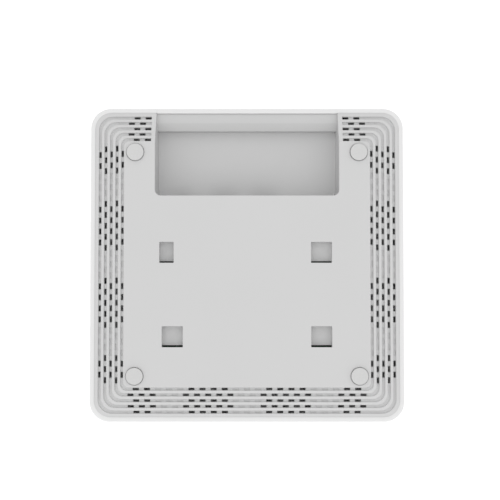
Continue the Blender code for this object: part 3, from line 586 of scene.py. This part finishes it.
def lamp_lens():
    surface = Surface("lamp_lens", (0.75, 0.86, 0.80), 0.25)
    surface.tint(surface.noise(0.8 * MM, 3.0), 0.05)
    surface.gloss(surface.noise(0.5 * MM, 3.0), 0.18, 0.34)
    return surface.material


def button_grey():
    surface = Surface("button_grey", (0.25, 0.25, 0.26), 0.45)
    surface.tint(surface.noise(0.8 * MM, 3.0), 0.05)
    surface.gloss(surface.noise(0.5 * MM, 3.0), 0.38, 0.52)
    surface.relief(surface.noise(0.3 * MM, 3.0), 0.01 * MM)
    return surface.material


# ---------------------------------------------------------------- front cover


def cover_rings():
    """The tray's section, from the front face out over the rim and back down inside."""
    flat = COVER_HALF - COVER_EDGE
    inner_run = COVER_EDGE - COVER_WALL
    inner_rise = COVER_EDGE - COVER_SKIN

    def outer(half, height):
        return square_ring(half, COVER_CORNER - OUTER_CORNER_LOSS * (COVER_HALF - half), height)

    def inner(half, height):
        loss = LIP_CORNER_LOSS + INNER_CORNER_LOSS * (COVER_INNER_HALF - half)
        corner = COVER_CORNER - loss
        return shifted(square_ring(half, corner, height))

    front = arc((flat, COVER_EDGE), COVER_EDGE, -90, 0, COVER_EDGE_STEPS)
    lip = arc((COVER_HALF - LIP_ROUND, COVER_TOP_Z - LIP_ROUND), LIP_ROUND, 0, 90, 6)
    lip_inside = [  # a slope that is nearly level at its ends
        (COVER_INNER_HALF + LIP_SLOPE_RUN, COVER_TOP_Z - 0.1 * LIP_SLOPE_FALL),
        (COVER_INNER_HALF + 0.1 * MM, COVER_TOP_Z - 0.9 * LIP_SLOPE_FALL),
        (COVER_INNER_HALF, COVER_TOP_Z - 1.1 * LIP_SLOPE_FALL),
    ]
    rings = [outer(half, height) for half, height in front + lip]
    rings += [inner(half, height) for half, height in lip_inside]
    rings.append(inner(COVER_INNER_HALF, LEDGE_Z))
    rings.append(inner(COVER_HALF - COVER_WALL, LEDGE_Z))
    for step in reversed(range(COVER_EDGE_STEPS + 1)):
        angle = step / COVER_EDGE_STEPS * math.pi / 2
        half = flat + inner_run * math.sin(angle)
        rings.append(inner(half, COVER_EDGE - inner_rise * math.cos(angle)))
    return rings


def make_cover(material):
    cover = piece("cover_shell", loft(cover_rings()), material)
    root_z = COVER_SKIN / 2
    corners = corner_places(FOOT_OFFSET).values()
    bosses = [(at, COVER_BOSS_RADIUS, COVER_BOSS_END_Z) for at in corners]
    bosses += [((x * MM, y * MM), BOARD_BOSS_RADIUS, BOARD_BOSS_END_Z) for x, y in BOARD_SCREWS]
    for at, radius, end_z in bosses:
        join(cover, rod(radius, root_z, end_z, at))
        cut(cover, rod(PILOT_RADIUS, PILOT_BOTTOM_Z, BACK_Z, at))
    cut(cover, rod(LAMP_HOLE, -OVER, COVER_SKIN + OVER, (0.0, LAMP_Y)))
    inner_y = COVER_INNER_HALF - LIP_REACH
    lip = [
        (inner_y, SILL_INNER_Z),
        (inner_y, COVER_TOP_Z - LIP_REACH),
        (COVER_INNER_HALF, COVER_TOP_Z),
        (COVER_INNER_HALF + LIP_SLOPE_RUN, COVER_TOP_Z),
        (COVER_INNER_HALF + LIP_SLOPE_RUN, SILL_INNER_Z),
    ]
    join(cover, prism(lip, lambda z: recess_half_width(SILL_INNER_Z)))
    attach(smooth(cover), "housing")
    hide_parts("front_cover")


# ---------------------------------------------------------------- back casing


def border_z(half):
    """Height of the border's surface at a distance from the middle, grooves left out."""
    past = half - PLATE_HALF
    if past <= -PLATE_BLEND:
        return BACK_Z
    if past < PLATE_BLEND:
        return BACK_Z - BORDER_SLOPE * (past + PLATE_BLEND) ** 2 / (4 * PLATE_BLEND)
    return BACK_Z - BORDER_SLOPE * past


def border_corner(half):
    return PLATE_CORNER + CORNER_GROWTH * (half - PLATE_HALF)


def border_ring(half, lowered=0.0):
    """A ring on the border. Its part beside the cable recess isn't lowered into a groove."""
    stops = (GROOVE_STOP_X, GROOVE_STOP_X + GROOVE_END)
    ring = square_ring(half, border_corner(half), border_z(half) - lowered, stops)
    return [
        (x, y, border_z(half)) if y == half and abs(x) <= GROOVE_STOP_X else (x, y, z)
        for x, y, z in ring
    ]


def groove_side():
    """One side of a groove's section, as (distance from its middle, depth), from mouth to floor."""
    mouth = (GROOVE_MOUTH / 2 + GROOVE_MOUTH_ROUND, GROOVE_MOUTH_ROUND)
    foot = (GROOVE_FLOOR / 2 - GROOVE_FOOT_ROUND, GROOVE_DEPTH - GROOVE_FOOT_ROUND)
    return arc(mouth, GROOVE_MOUTH_ROUND, 270, 180, 3) + arc(foot, GROOVE_FOOT_ROUND, 0, 90, 4)


def casing_rings():
    """The shell's section, from the plate out to the skirt and back under the border."""
    blend = (-1.0, -0.5, 0.0, 0.4)  # places on the bend between the plate and the border
    rings = [border_ring(PLATE_HALF + share * PLATE_BLEND) for share in blend]
    side = groove_side()
    for groove in range(GROOVES):
        middle = FIRST_GROOVE_HALF + groove * GROOVE_PITCH
        rings += [border_ring(middle - offset, depth) for offset, depth in side]
        rings += [border_ring(middle + offset, depth) for offset, depth in reversed(side)]
    stops = (GROOVE_STOP_X, GROOVE_STOP_X + GROOVE_END)
    edge_z = border_z(CASING_HALF)
    square_to_border = 67  # degrees
    edge_middle = (CASING_HALF - CASING_EDGE, edge_z - CASING_EDGE)
    edge = arc(edge_middle, CASING_EDGE, square_to_border, 0)
    inner_half = CASING_HALF - SKIRT_WALL
    outline = edge + [
        (CASING_HALF, SKIRT_BOTTOM_Z),
        (inner_half, SKIRT_BOTTOM_Z),
        (inner_half, border_z(inner_half) - CASING_WALL),
        (PLATE_HALF, BACK_Z - CASING_WALL),
    ]
    for half, height in outline:
        rings.append(shifted(square_ring(half, border_corner(half), height, stops)))
    return rings


def recess_half_width(z):
    """The recess narrows as it goes down, because its side walls have draft."""
    return RECESS_HALF - RECESS_DRAFT * (BACK_Z - z)


def prism(outline, half_width):
    """An outline of (Y, Z) points, drawn out along X by half_width(z) to both sides."""
    right = [(half_width(z), y, z) for y, z in outline]
    left = [(-half_width(z), y, z) for y, z in outline]
    return loft([left, right])


def recess_hollow():
    """The recess's inside, with round upright corners and a round foot along its walls."""
    inner_floor_y = RECESS_INNER_Y + RECESS_DRAFT * (BACK_Z - RECESS_FLOOR_Z)
    above = 2 * MM
    hollow = [
        (inner_floor_y, RECESS_FLOOR_Z),
        (RECESS_OUTER_Y, RECESS_FLOOR_Z),
        (RECESS_OUTER_Y, SILL_INNER_Z),
        (SILL_BREAK.x, SILL_BREAK.y),
        (COVER_HALF, SILL_OUTER_Z),
        (COVER_HALF, BACK_Z + above),
        (RECESS_INNER_Y - RECESS_DRAFT * above, BACK_Z + above),
    ]
    shape = prism(hollow, recess_half_width)
    upright = [
        edge
        for edge in shape.edges
        if all(v.co.y < inner_floor_y + GAP for v in edge.verts)
        and abs(edge.verts[0].co.z - edge.verts[1].co.z) > above
    ]
    bevel(shape, upright, RECESS_CORNER, RECESS_CORNER_STEPS)
    foot = [
        edge
        for edge in shape.edges
        if all(v.co.z < RECESS_FLOOR_Z + 0.01 * MM for v in edge.verts)
    ]
    return bevel(shape, foot, RECESS_FLOOR_ROUND, 3)


def edge_rounder(path, radius, closed):
    """A cutter that rounds the edge along a path of (point, outward direction) pairs.

    Outward points away from the opening, into the material. The cutter's section has a hollow
    quarter circle that touches the surface and the wall.
    """
    section = [(-OVER, radius), (radius, radius), (radius, 0.0)]
    section += arc((radius, -radius), radius, 90, 180)[1:]
    section.append((-OVER, -radius))
    rings = []
    for point, outward in path:
        rings.append([Vector(point) + o * outward + Vector((0, 0, z)) for o, z in section])
    return loft(rings, closed)


def recess_rim():
    """The recess's edge, from the right end of its mouth round to the left end."""
    side = []
    levels = [COVER_HALF, CASING_HALF - CASING_EDGE, PLATE_HALF + PLATE_BLEND]
    levels += [PLATE_HALF, PLATE_HALF - PLATE_BLEND]
    for y in levels:
        side.append(((recess_half_width(border_z(y)), y, border_z(y)), Vector((1, 0, 0))))
    corner = (RECESS_HALF - RECESS_CORNER, RECESS_INNER_Y + RECESS_CORNER)
    for x, y in arc(corner, RECESS_CORNER, 0, -90, RECESS_CORNER_STEPS):
        outward = Vector((x - corner[0], y - corner[1], 0)).normalized()
        side.append(((x, y, BACK_Z), outward))
    mirrored = [
        ((-x, y, z), Vector((-outward.x, outward.y, 0))) for (x, y, z), outward in reversed(side)
    ]
    return side + mirrored


def add_recess(casing):
    under = CASING_WALL / 2
    skirt_y = CASING_HALF - SKIRT_WALL / 2
    shell = [
        (RECESS_INNER_Y - RECESS_WALL, RECESS_FLOOR_Z - RECESS_WALL),
        (RECESS_OUTER_Y + RECESS_WALL, RECESS_FLOOR_Z - RECESS_WALL),
        (RECESS_OUTER_Y + RECESS_WALL, SILL_INNER_Z - RECESS_WALL),
        (SILL_BREAK.x, SILL_BREAK.y - RECESS_WALL),
        (skirt_y, SILL_OUTER_Z - RECESS_WALL),
        (skirt_y, border_z(skirt_y) - under),
        (PLATE_HALF, BACK_Z - under),
        (RECESS_INNER_Y - RECESS_WALL, BACK_Z - under),
    ]
    join(casing, prism(shell, lambda z: GROOVE_STOP_X))
    cut(casing, recess_hollow())
    cut(casing, edge_rounder(recess_rim(), RIM_ROUND, closed=False))
    end_y = COVER_INNER_HALF - LIP_REACH - MOUTH_GAP
    half = recess_half_width(SILL_OUTER_Z)
    cut(casing, box((-half, end_y, CASING_LOW.z - OVER), (half, COVER_HALF, BACK_Z)))


def paint_recess_shade(casing):
    """Marks the faces inside the recess with their share of its painted shade."""
    mesh = casing.data
    marks = mesh.attributes.new(RECESS_SHADE_MARK, "FLOAT", "FACE")
    slack = 0.05 * MM
    for face in mesh.polygons:
        x, y, z = face.center
        inside = abs(x) < RECESS_HALF + slack and y > RECESS_INNER_Y - slack
        below = z < border_z(max(abs(x), abs(y))) - RIM_ROUND - slack
        share = SILL_MARK if RECESS_OUTER_Y < y < SILL_BREAK.x else FLAT_MARK
        # steep walls take the full painted shade, and the floor and sill take a share
        if abs(face.normal.z) < 0.5:
            share = 1.0
        marks.data[face.index].value = share * float(inside and below)


def cut_socket_openings(casing):
    near, far = RECESS_INNER_Y - 2 * RECESS_WALL, RECESS_INNER_Y + 2 * RECESS_WALL
    openings = [(x, JACK_SIZE.x, JACK_SIZE.z) for x in JACKS.values()]
    openings.append((DC_JACK_X, DC_JACK_SIZE.x, DC_JACK_SIZE.z))
    for middle_x, width, height in openings:
        low = (middle_x - width / 2 - GAP, near, PART_Z - GAP)
        high = (middle_x + width / 2 + GAP, far, PART_Z + height + GAP)
        shape = box(low, high)
        along = [e for e in shape.edges if abs(e.verts[0].co.y - e.verts[1].co.y) > GAP]
        cut(casing, bevel(shape, along, SOCKET_HOLE_CORNER))
    hole = along_y(turned([(RESET_HOLE_RADIUS, near), (RESET_HOLE_RADIUS, far)]))
    cut(casing, moved(hole, (RESET_X, 0.0, RESET_Z)))


def rectangle_rim(low, high, corner, z):
    """The edge of a rectangular opening with round corners, as edge_rounder wants it."""
    path = []
    quarters = ((high[0], high[1]), (low[0], high[1]), (low[0], low[1]), (high[0], low[1]))
    for quarter, (x, y) in enumerate(quarters):
        start = 90 * quarter
        sx, sy = (1 if x == high[0] else -1), (1 if y == high[1] else -1)
        middle = (x - sx * corner, y - sy * corner)
        for px, py in arc(middle, corner, start, start + 90):
            outward = Vector((px - middle[0], py - middle[1], 0)).normalized()
            path.append(((px, py, z), outward))
    return path


def add_pocket(casing, middle_x, middle_y, width):
    """A square pocket whose floor stops short of the lip that a bracket's hook slides under."""
    low_x, high_x = middle_x - width / 2, middle_x + width / 2
    low_y, high_y = middle_y - POCKET_HEIGHT / 2, middle_y + POCKET_HEIGHT / 2
    floor_z = BACK_Z - POCKET_DEPTH
    bottom_z = floor_z - POCKET_WALL
    end_y = low_y - POCKET_REACH
    outside = box(
        (low_x - POCKET_WALL, end_y - POCKET_WALL, bottom_z),
        (high_x + POCKET_WALL, high_y + POCKET_WALL, BACK_Z - CASING_WALL / 2),
    )
    join(casing, outside)
    hollow = box((low_x, low_y, floor_z), (high_x, high_y, BACK_Z + OVER))
    upright = [e for e in hollow.edges if abs(e.verts[0].co.z - e.verts[1].co.z) > OVER]
    cut(casing, bevel(hollow, upright, POCKET_ROUND))
    channel = box(
        (low_x, end_y, bottom_z - POCKET_WALL),
        (high_x, low_y + POCKET_SLIT, BACK_Z - CASING_WALL),
    )
    cut(casing, channel)
    rim = rectangle_rim((low_x, low_y), (high_x, high_y), POCKET_ROUND, BACK_Z)
    cut(casing, edge_rounder(rim, POCKET_RIM_ROUND, closed=True))


def add_screw_seat(casing, at):
    join(casing, rod(BOSS_RADIUS, BOSS_END_Z, BACK_Z - CASING_WALL / 2, at))
    seat = FOOT_RADIUS + FOOT_SEAT_GAP
    seat_z = BACK_Z - FOOT_SEAT_DEPTH
    steps = [(SCREW_HOLE, PILOT_BOTTOM_Z), (SCREW_HOLE, SCREW_SEAT_Z)]
    steps += [(SCREW_HEAD_HOLE, SCREW_SEAT_Z), (SCREW_HEAD_HOLE, seat_z)]
    steps += [(seat, seat_z), (seat, BACK_Z + OVER)]
    cut(casing, moved(turned(steps), (at[0], at[1], 0.0)))


def slot_places():
    """Middle, direction along the side, and depth of each vent slot in the grooves' floors."""
    through = 2 * CASING_WALL
    blind = GROOVE_DEPTH + BLIND_DEPTH
    for groove in range(GROOVES):
        half = FIRST_GROOVE_HALF + groove * GROOVE_PITCH
        open_steps = ODD_ROW_SLOTS if groove % 2 else EVEN_ROW_SLOTS
        blind_steps = ODD_ROW_BLIND if groove % 2 else EVEN_ROW_BLIND
        steps = [(step, through) for step in open_steps] + [(step, blind) for step in blind_steps]
        for step, depth in steps:
            for along in sorted({-step * SLOT_PITCH, step * SLOT_PITCH}):
                yield (-half, along), "y", depth
                yield (half, along), "y", depth
                yield (along, -half), "x", depth
                if step >= UPPER_SIDE_FIRST_SLOT:
                    yield (along, half), "x", depth


def slot_outline():
    """A slot's outline around its middle, along X."""
    x, y = SLOT_LENGTH / 2 - SLOT_CORNER, SLOT_WIDTH / 2 - SLOT_CORNER
    points = []
    for sx, sy, start in ((1, 1, 0), (-1, 1, 90), (-1, -1, 180), (1, -1, 270)):
        points += arc((sx * x, sy * y), SLOT_CORNER, start, start + 90, 3)
    return points


def cut_slots(casing):
    """All vent slots at once: separate blocks in one mesh, with ends that follow the border."""
    blocks = bmesh.new()
    outline = slot_outline()
    for (x, y), direction, depth in slot_places():
        if direction == "x":
            points = [(x + a, y + b) for a, b in outline]
        else:
            points = [(x + b, y + a) for a, b in outline]
        surface = [(px, py, border_z(max(abs(px), abs(py)))) for px, py in points]
        rings = [[(px, py, z + lift) for px, py, z in surface] for lift in (-depth, OVER)]
        loft(rings, shape=blocks)
    cut(casing, blocks)


def make_casing(material):
    casing = piece("casing_shell", loft(casing_rings()), material)
    add_recess(casing)
    cut_socket_openings(casing)
    for middle_x, middle_y, width in POCKETS:
        add_pocket(casing, middle_x, middle_y, width)
    for at in corner_places(FOOT_OFFSET).values():
        add_screw_seat(casing, at)
    cut_slots(casing)
    paint_recess_shade(casing)
    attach(smooth(casing), "housing")
    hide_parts("back_casing")


# ---------------------------------------------------------------- feet


def make_feet(material):
    """Round pads with a soft edge, a little lower in the middle than at the edge."""
    bottom_z = BACK_Z - FOOT_SEAT_DEPTH + 0.1 * MM
    chamfer = 0.2 * MM
    rim = arc((FOOT_RADIUS - FOOT_EDGE, FOOT_TOP_Z - FOOT_EDGE), FOOT_EDGE, 0, 90, 5)
    profile = [(FOOT_RADIUS - chamfer, bottom_z), (FOOT_RADIUS, bottom_z + chamfer), *rim]
    profile.append((FOOT_RADIUS - 1.2 * MM, FOOT_TOP_Z - 0.02 * MM))
    profile.append((1.0 * MM, FOOT_TOP_Z - 0.03 * MM))
    for name, at in corner_places(FOOT_OFFSET).items():
        shape = moved(turned(profile), (0, 0, -BACK_Z))
        foot = smooth(piece("foot_pad_" + name, shape, material, (*at, BACK_Z)))
        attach(foot, "housing")
        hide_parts("foot_" + name)


# ---------------------------------------------------------------- sockets and controls


def make_jack_shell(name, middle_x, material):
    """A folded sheet-steel screen, open at the front and at the bottom, with rounded folds."""
    half, height = JACK_SIZE.x / 2, JACK_SIZE.z
    fold = 0.9 * MM

    def section(inset, foot):
        radius = fold - inset
        x, z = half - fold, height - fold
        points = [(half - inset, foot)]
        points += arc((x, z), radius, 0, 90)
        points += arc((-x, z), radius, 90, 180)
        return points + [(inset - half, foot)]

    back_y = SOCKET_FACE_Y - JACK_SIZE.y
    outer = [[(x, y, z) for x, z in section(0.0, 0.0)] for y in (back_y, SOCKET_FACE_Y)]
    inner_ends = (back_y + JACK_SHEET, SOCKET_FACE_Y + OVER)
    inner = [[(x, y, z) for x, z in section(JACK_SHEET, -OVER)] for y in inner_ends]
    shell = piece(name + "_screen", loft(outer), material, (middle_x, 0, PART_Z))
    cut(shell, moved(loft(inner), shell.location))
    return shell


def make_jack_insert(name, middle_x, material):
    """The black insert: plug opening with its latch keyway, a lead-in, and eight contact slots."""
    inset = JACK_SHEET + 0.05 * MM
    low = Vector((inset - JACK_SIZE.x / 2, SOCKET_FACE_Y - JACK_SIZE.y + inset, 0.0))
    high = Vector((JACK_SIZE.x / 2 - inset, SOCKET_FACE_Y - GAP, JACK_SIZE.z - inset))
    shape = box(low, high)
    along = [e for e in shape.edges if abs(e.verts[0].co.y - e.verts[1].co.y) > GAP]
    bevel(shape, along, 0.5 * MM)
    insert = piece(name + "_housing", shape, material, (middle_x, 0, PART_Z))
    end_y = high.y - PLUG_DEPTH

    def opening(grow):
        half = PLUG_WIDTH / 2 + grow
        roof_z = PLUG_FLOOR + PLUG_HEIGHT + grow
        right = [(half, PLUG_FLOOR - grow), (half, roof_z)]
        for width, height in LATCH_STEPS:
            right += [(width / 2 + grow, roof_z), (width / 2 + grow, roof_z + height)]
            roof_z += height
        return right + [(-x, z) for x, z in reversed(right)]

    lead = 0.35 * MM
    levels = ((end_y, 0.0), (high.y - lead, 0.0), (high.y, lead), (high.y + OVER, lead + OVER))
    rings = [[(x, y, z) for x, z in opening(grow)] for y, grow in levels]
    cut(insert, moved(loft(rings), insert.location))
    slots = bmesh.new()
    for contact in range(CONTACTS):
        x = (contact - (CONTACTS - 1) / 2) * CONTACT_PITCH
        half = 0.32 * MM
        floor_z = PLUG_FLOOR - 0.6 * MM
        floor = [(x - half, floor_z), (x + half, floor_z)]
        roof = [(x + half, PLUG_FLOOR + OVER), (x - half, PLUG_FLOOR + OVER)]
        ends = (end_y + 1.0 * MM, high.y - 1.2 * MM)
        loft([[(px, y, pz) for px, pz in floor + roof] for y in ends], shape=slots)
    cut(insert, moved(slots, insert.location))
    return insert


def make_jack_contacts(name, middle_x, material):
    """Eight round spring wires that lie in the slots and rise towards the back."""
    front_y = SOCKET_FACE_Y - GAP - 1.6 * MM
    start_z = PLUG_FLOOR - 0.35 * MM
    bend = 0.8 * MM
    route = [(front_y, start_z), (front_y - bend, start_z + 0.03 * MM)]
    for share in (0.25, 0.5, 0.75, 1.0):
        route.append((front_y - bend - share * 9 * MM, start_z + share * 2.5 * MM))
    angles = [2 * math.pi * i / 10 for i in range(10)]
    wires = bmesh.new()
    for contact in range(CONTACTS):
        x = (contact - (CONTACTS - 1) / 2) * CONTACT_PITCH
        rings = []
        for y, z in route:
            around = [(WIRE_RADIUS * math.cos(a), WIRE_RADIUS * math.sin(a)) for a in angles]
            rings.append([(x + dx, y, z + dz) for dx, dz in around])
        loft(rings, shape=wires)
    return piece(name + "_wires", wires, material, (middle_x, 0, PART_Z))


def make_network_jacks(steel, black, gold):
    for name, middle_x in JACKS.items():
        shell = make_jack_shell(name, middle_x, steel)
        insert = make_jack_insert(name, middle_x, black)
        wires = make_jack_contacts(name, middle_x, gold)
        parts = (
            (shell, "_shell", "steel"),
            (insert, "_insert", "socket"),
            (wires, "_contacts", "contact"),
        )
        for obj, node, slot in parts:
            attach(smooth(obj), "housing")
            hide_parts(name + node)


def make_dc_jack(black, steel):
    """The power inlet: a body with rounded edges, a bore with a lead-in, and a domed pin."""
    size = DC_JACK_SIZE
    low = Vector((-size.x / 2, SOCKET_FACE_Y - size.y, 0.0))
    shape = box(low, low + size)
    bevel(shape, shape.edges[:], 0.4 * MM)
    body = piece("power_inlet_body", shape, black, (DC_JACK_X, 0, PART_Z))
    bottom_y = SOCKET_FACE_Y - DC_BORE_DEPTH
    lead = 0.5 * MM
    hole = 1.3 * MM
    bore = [(hole, low.y - OVER), (hole, bottom_y), (DC_BORE_RADIUS, bottom_y)]
    bore += [(DC_BORE_RADIUS, SOCKET_FACE_Y - lead), (DC_BORE_RADIUS + lead, SOCKET_FACE_Y)]
    bore.append((DC_BORE_RADIUS + lead + OVER, SOCKET_FACE_Y + OVER))
    axis = Vector((DC_JACK_X, 0.0, PART_Z + DC_AXIS_HEIGHT))
    cut(body, moved(along_y(turned(bore)), axis))
    pin_low, pin_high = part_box("dc_jack_pin")
    radius = (pin_high.x - pin_low.x) / 2
    dome = arc((0.0, pin_high.y - radius), radius, 0, 80, 6)
    profile = [(radius - 0.1 * MM, pin_low.y), (radius, pin_low.y + 0.1 * MM), *dome]
    pin = piece("power_inlet_pin", along_y(turned(profile)), steel, axis)
    for obj, node, slot in ((body, "dc_jack_body", "socket"), (pin, "dc_jack_pin", "steel")):
        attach(smooth(obj), "housing")
        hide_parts(node)


def make_reset_button(material):
    """The button with a domed end, and its flange inside the switch."""
    low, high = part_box("reset_button")
    flange, stem = (high.x - low.x) / 2, 1.3 * MM
    flange_end = low.y + 1.8 * MM
    round_end = 0.5 * MM
    dome = arc((stem - round_end, high.y - round_end), round_end, 0, 90, 6)
    profile = [(flange - 0.1 * MM, low.y), (flange, low.y + 0.1 * MM), (flange, flange_end)]
    profile += [(stem, flange_end), *dome, (0.3 * MM, high.y)]
    button = piece("reset_button_cap", along_y(turned(profile)), material, (RESET_X, 0, RESET_Z))
    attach(smooth(button), "reset_button")
    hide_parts("reset_button")


def make_light_pipe(material):
    """A clear rod with a flange behind the front cover and a slightly domed end in its hole."""
    low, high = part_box("light_pipe")
    radius, upper_radius = 1.65 * MM, 1.5 * MM
    round_end = 0.3 * MM
    flange = (high.x - low.x) / 2
    flange_low, flange_high = COVER_SKIN + 0.1 * MM, COVER_SKIN + 1.5 * MM
    edge = arc((radius - round_end, low.z + round_end), round_end, -80, 0, 4)
    profile = [(0.5 * MM, low.z), *edge, (radius, flange_low), (flange, flange_low)]
    profile += [(flange, flange_high), (upper_radius, flange_high), (upper_radius, high.z)]
    pipe = piece("light_pipe_rod", turned(profile), material, (0, LAMP_Y, 0))
    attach(smooth(pipe), "housing")
    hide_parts("light_pipe")


# ---------------------------------------------------------------- carried-over nodes


def finish_nodes(materials):
    """Gives each CAD node that still shows the material of its kind."""
    for name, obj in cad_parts.items():
        kind = max((k for k in materials if name.startswith(k)), key=len, default=None)
        if kind:
            obj.data.materials.clear()
            obj.data.materials.append(materials[kind])


# ---------------------------------------------------------------- stage


def make_floor():
    """A white floor that also glows a little, so that it shows no grey around the object."""
    surface = Surface("floor_white", (FLOOR_ALBEDO,) * 3, 0.9)
    surface.shader.inputs["Emission Color"].default_value = (1.0, 1.0, 1.0, 1.0)
    surface.shader.inputs["Emission Strength"].default_value = FLOOR_GLOW
    shape = bmesh.new()
    bmesh.ops.create_grid(shape, x_segments=1, y_segments=1, size=6.0)
    floor = piece("floor", shape, surface.material)


def light_scene():
    """A nearly even white surround, as in a light tent, brightest overhead and at the horizon."""
    world = bpy.data.worlds.new("surround")
    bpy.context.scene.world = world
    world.use_nodes = True
    nodes, links = world.node_tree.nodes, world.node_tree.links
    background = nodes["Background"]
    background.inputs["Color"].default_value = (1.0, 1.0, 1.0, 1.0)
    direction = nodes.new("ShaderNodeTexCoord").outputs["Generated"]
    height = nodes.new("ShaderNodeSeparateXYZ")
    links.new(direction, height.inputs["Vector"])
    above = nodes.new("ShaderNodeMath")
    above.operation = "MAXIMUM"
    links.new(height.outputs["Z"], above.inputs[0])
    above.inputs[1].default_value = 0.0
    overhead = nodes.new("ShaderNodeMath")
    overhead.operation = "MULTIPLY_ADD"
    links.new(above.outputs["Value"], overhead.inputs[0])
    overhead.inputs[1].default_value = SKY_ABOVE - SKY_SIDE
    overhead.inputs[2].default_value = SKY_SIDE
    tilt = nodes.new("ShaderNodeMath")
    tilt.operation = "MULTIPLY_ADD"
    links.new(height.outputs["Y"], tilt.inputs[0])
    tilt.inputs[1].default_value = -SKY_TILT
    links.new(overhead.outputs["Value"], tilt.inputs[2])
    haze = nodes.new("ShaderNodeMapRange")
    links.new(height.outputs["Z"], haze.inputs["Value"])
    haze.inputs["From Max"].default_value = HAZE_TOP
    haze.inputs["To Min"].default_value = HAZE
    haze.inputs["To Max"].default_value = 0.0
    total = nodes.new("ShaderNodeMath")
    links.new(tilt.outputs["Value"], total.inputs[0])
    links.new(haze.outputs["Result"], total.inputs[1])
    links.new(total.outputs["Value"], background.inputs["Strength"])
    bpy.context.scene.view_settings.view_transform = "Standard"


def make_camera():
    """Nearly straight above the mounting face, tilted a little towards the lower edge."""
    data = bpy.data.cameras.new("camera")
    data.sensor_width = 36.0
    data.lens = LENS
    data.shift_x, data.shift_y = LENS_SHIFT
    data.clip_start = 0.01
    camera = bpy.data.objects.new("camera", data)
    back = Vector((0.0, -math.cos(CAMERA_ELEVATION), math.sin(CAMERA_ELEVATION)))
    camera.location = CAMERA_AIM + CAMERA_DISTANCE * back
    camera.rotation_mode = "QUATERNION"
    camera.rotation_quaternion = (-back).to_track_quat("-Z", "Y")
    bpy.context.scene.collection.objects.link(camera)
    bpy.context.scene.camera = camera


def main():
    make_camera()
    light_scene()
    make_floor()
    casing, cover, rubber = casing_plastic(), cover_plastic(), foot_rubber()
    steel, screws, gold, brass = sheet_steel(), screw_steel(), gold_plate(), antenna_brass()
    socket_black = moulded_black("socket_black", (0.03, 0.03, 0.03), 0.32, 0.46, 0.5 * MM)
    chip_black = moulded_black("chip_black", (0.02, 0.02, 0.02), 0.45, 0.6, 0.25 * MM)
    ferrite = moulded_black("ferrite", (0.06, 0.06, 0.065), 0.5, 0.7, 0.15 * MM)
    clear, grey = clear_plastic(), button_grey()
    finish_nodes(
        {
            "casing_screw": screws,
            "board_screw": screws,
            "main_board": board_laminate(),
            "processor": chip_black,
            "memory_chip": chip_black,
            "flash_chip": chip_black,
            "radio_chip": chip_black,
            "poe_magnetics": chip_black,
            "lan_magnetics": chip_black,
            "reset_switch": chip_black,
            "radio_shield": steel,
            "clock_crystal": steel,
            "thermal_pad": silicone_pad(),
            "heat_sink": extruded_aluminium(),
            "heat_sink_pin": socket_black,
            "input_capacitor": drawn_aluminium(),
            "output_capacitor": drawn_aluminium(),
            "power_inductor": ferrite,
            "poe_transformer": ferrite,
            "poe_transformer_coil": coil_tape(),
            "status_lamp": lamp_lens(),
            "antenna": brass,
        }
    )
    make_cover(cover)
    make_casing(casing)
    make_feet(rubber)
    make_network_jacks(steel, socket_black, gold)
    make_dc_jack(socket_black, steel)
    make_reset_button(grey)
    make_light_pipe(clear)


main()
bpy.context.view_layer.update()
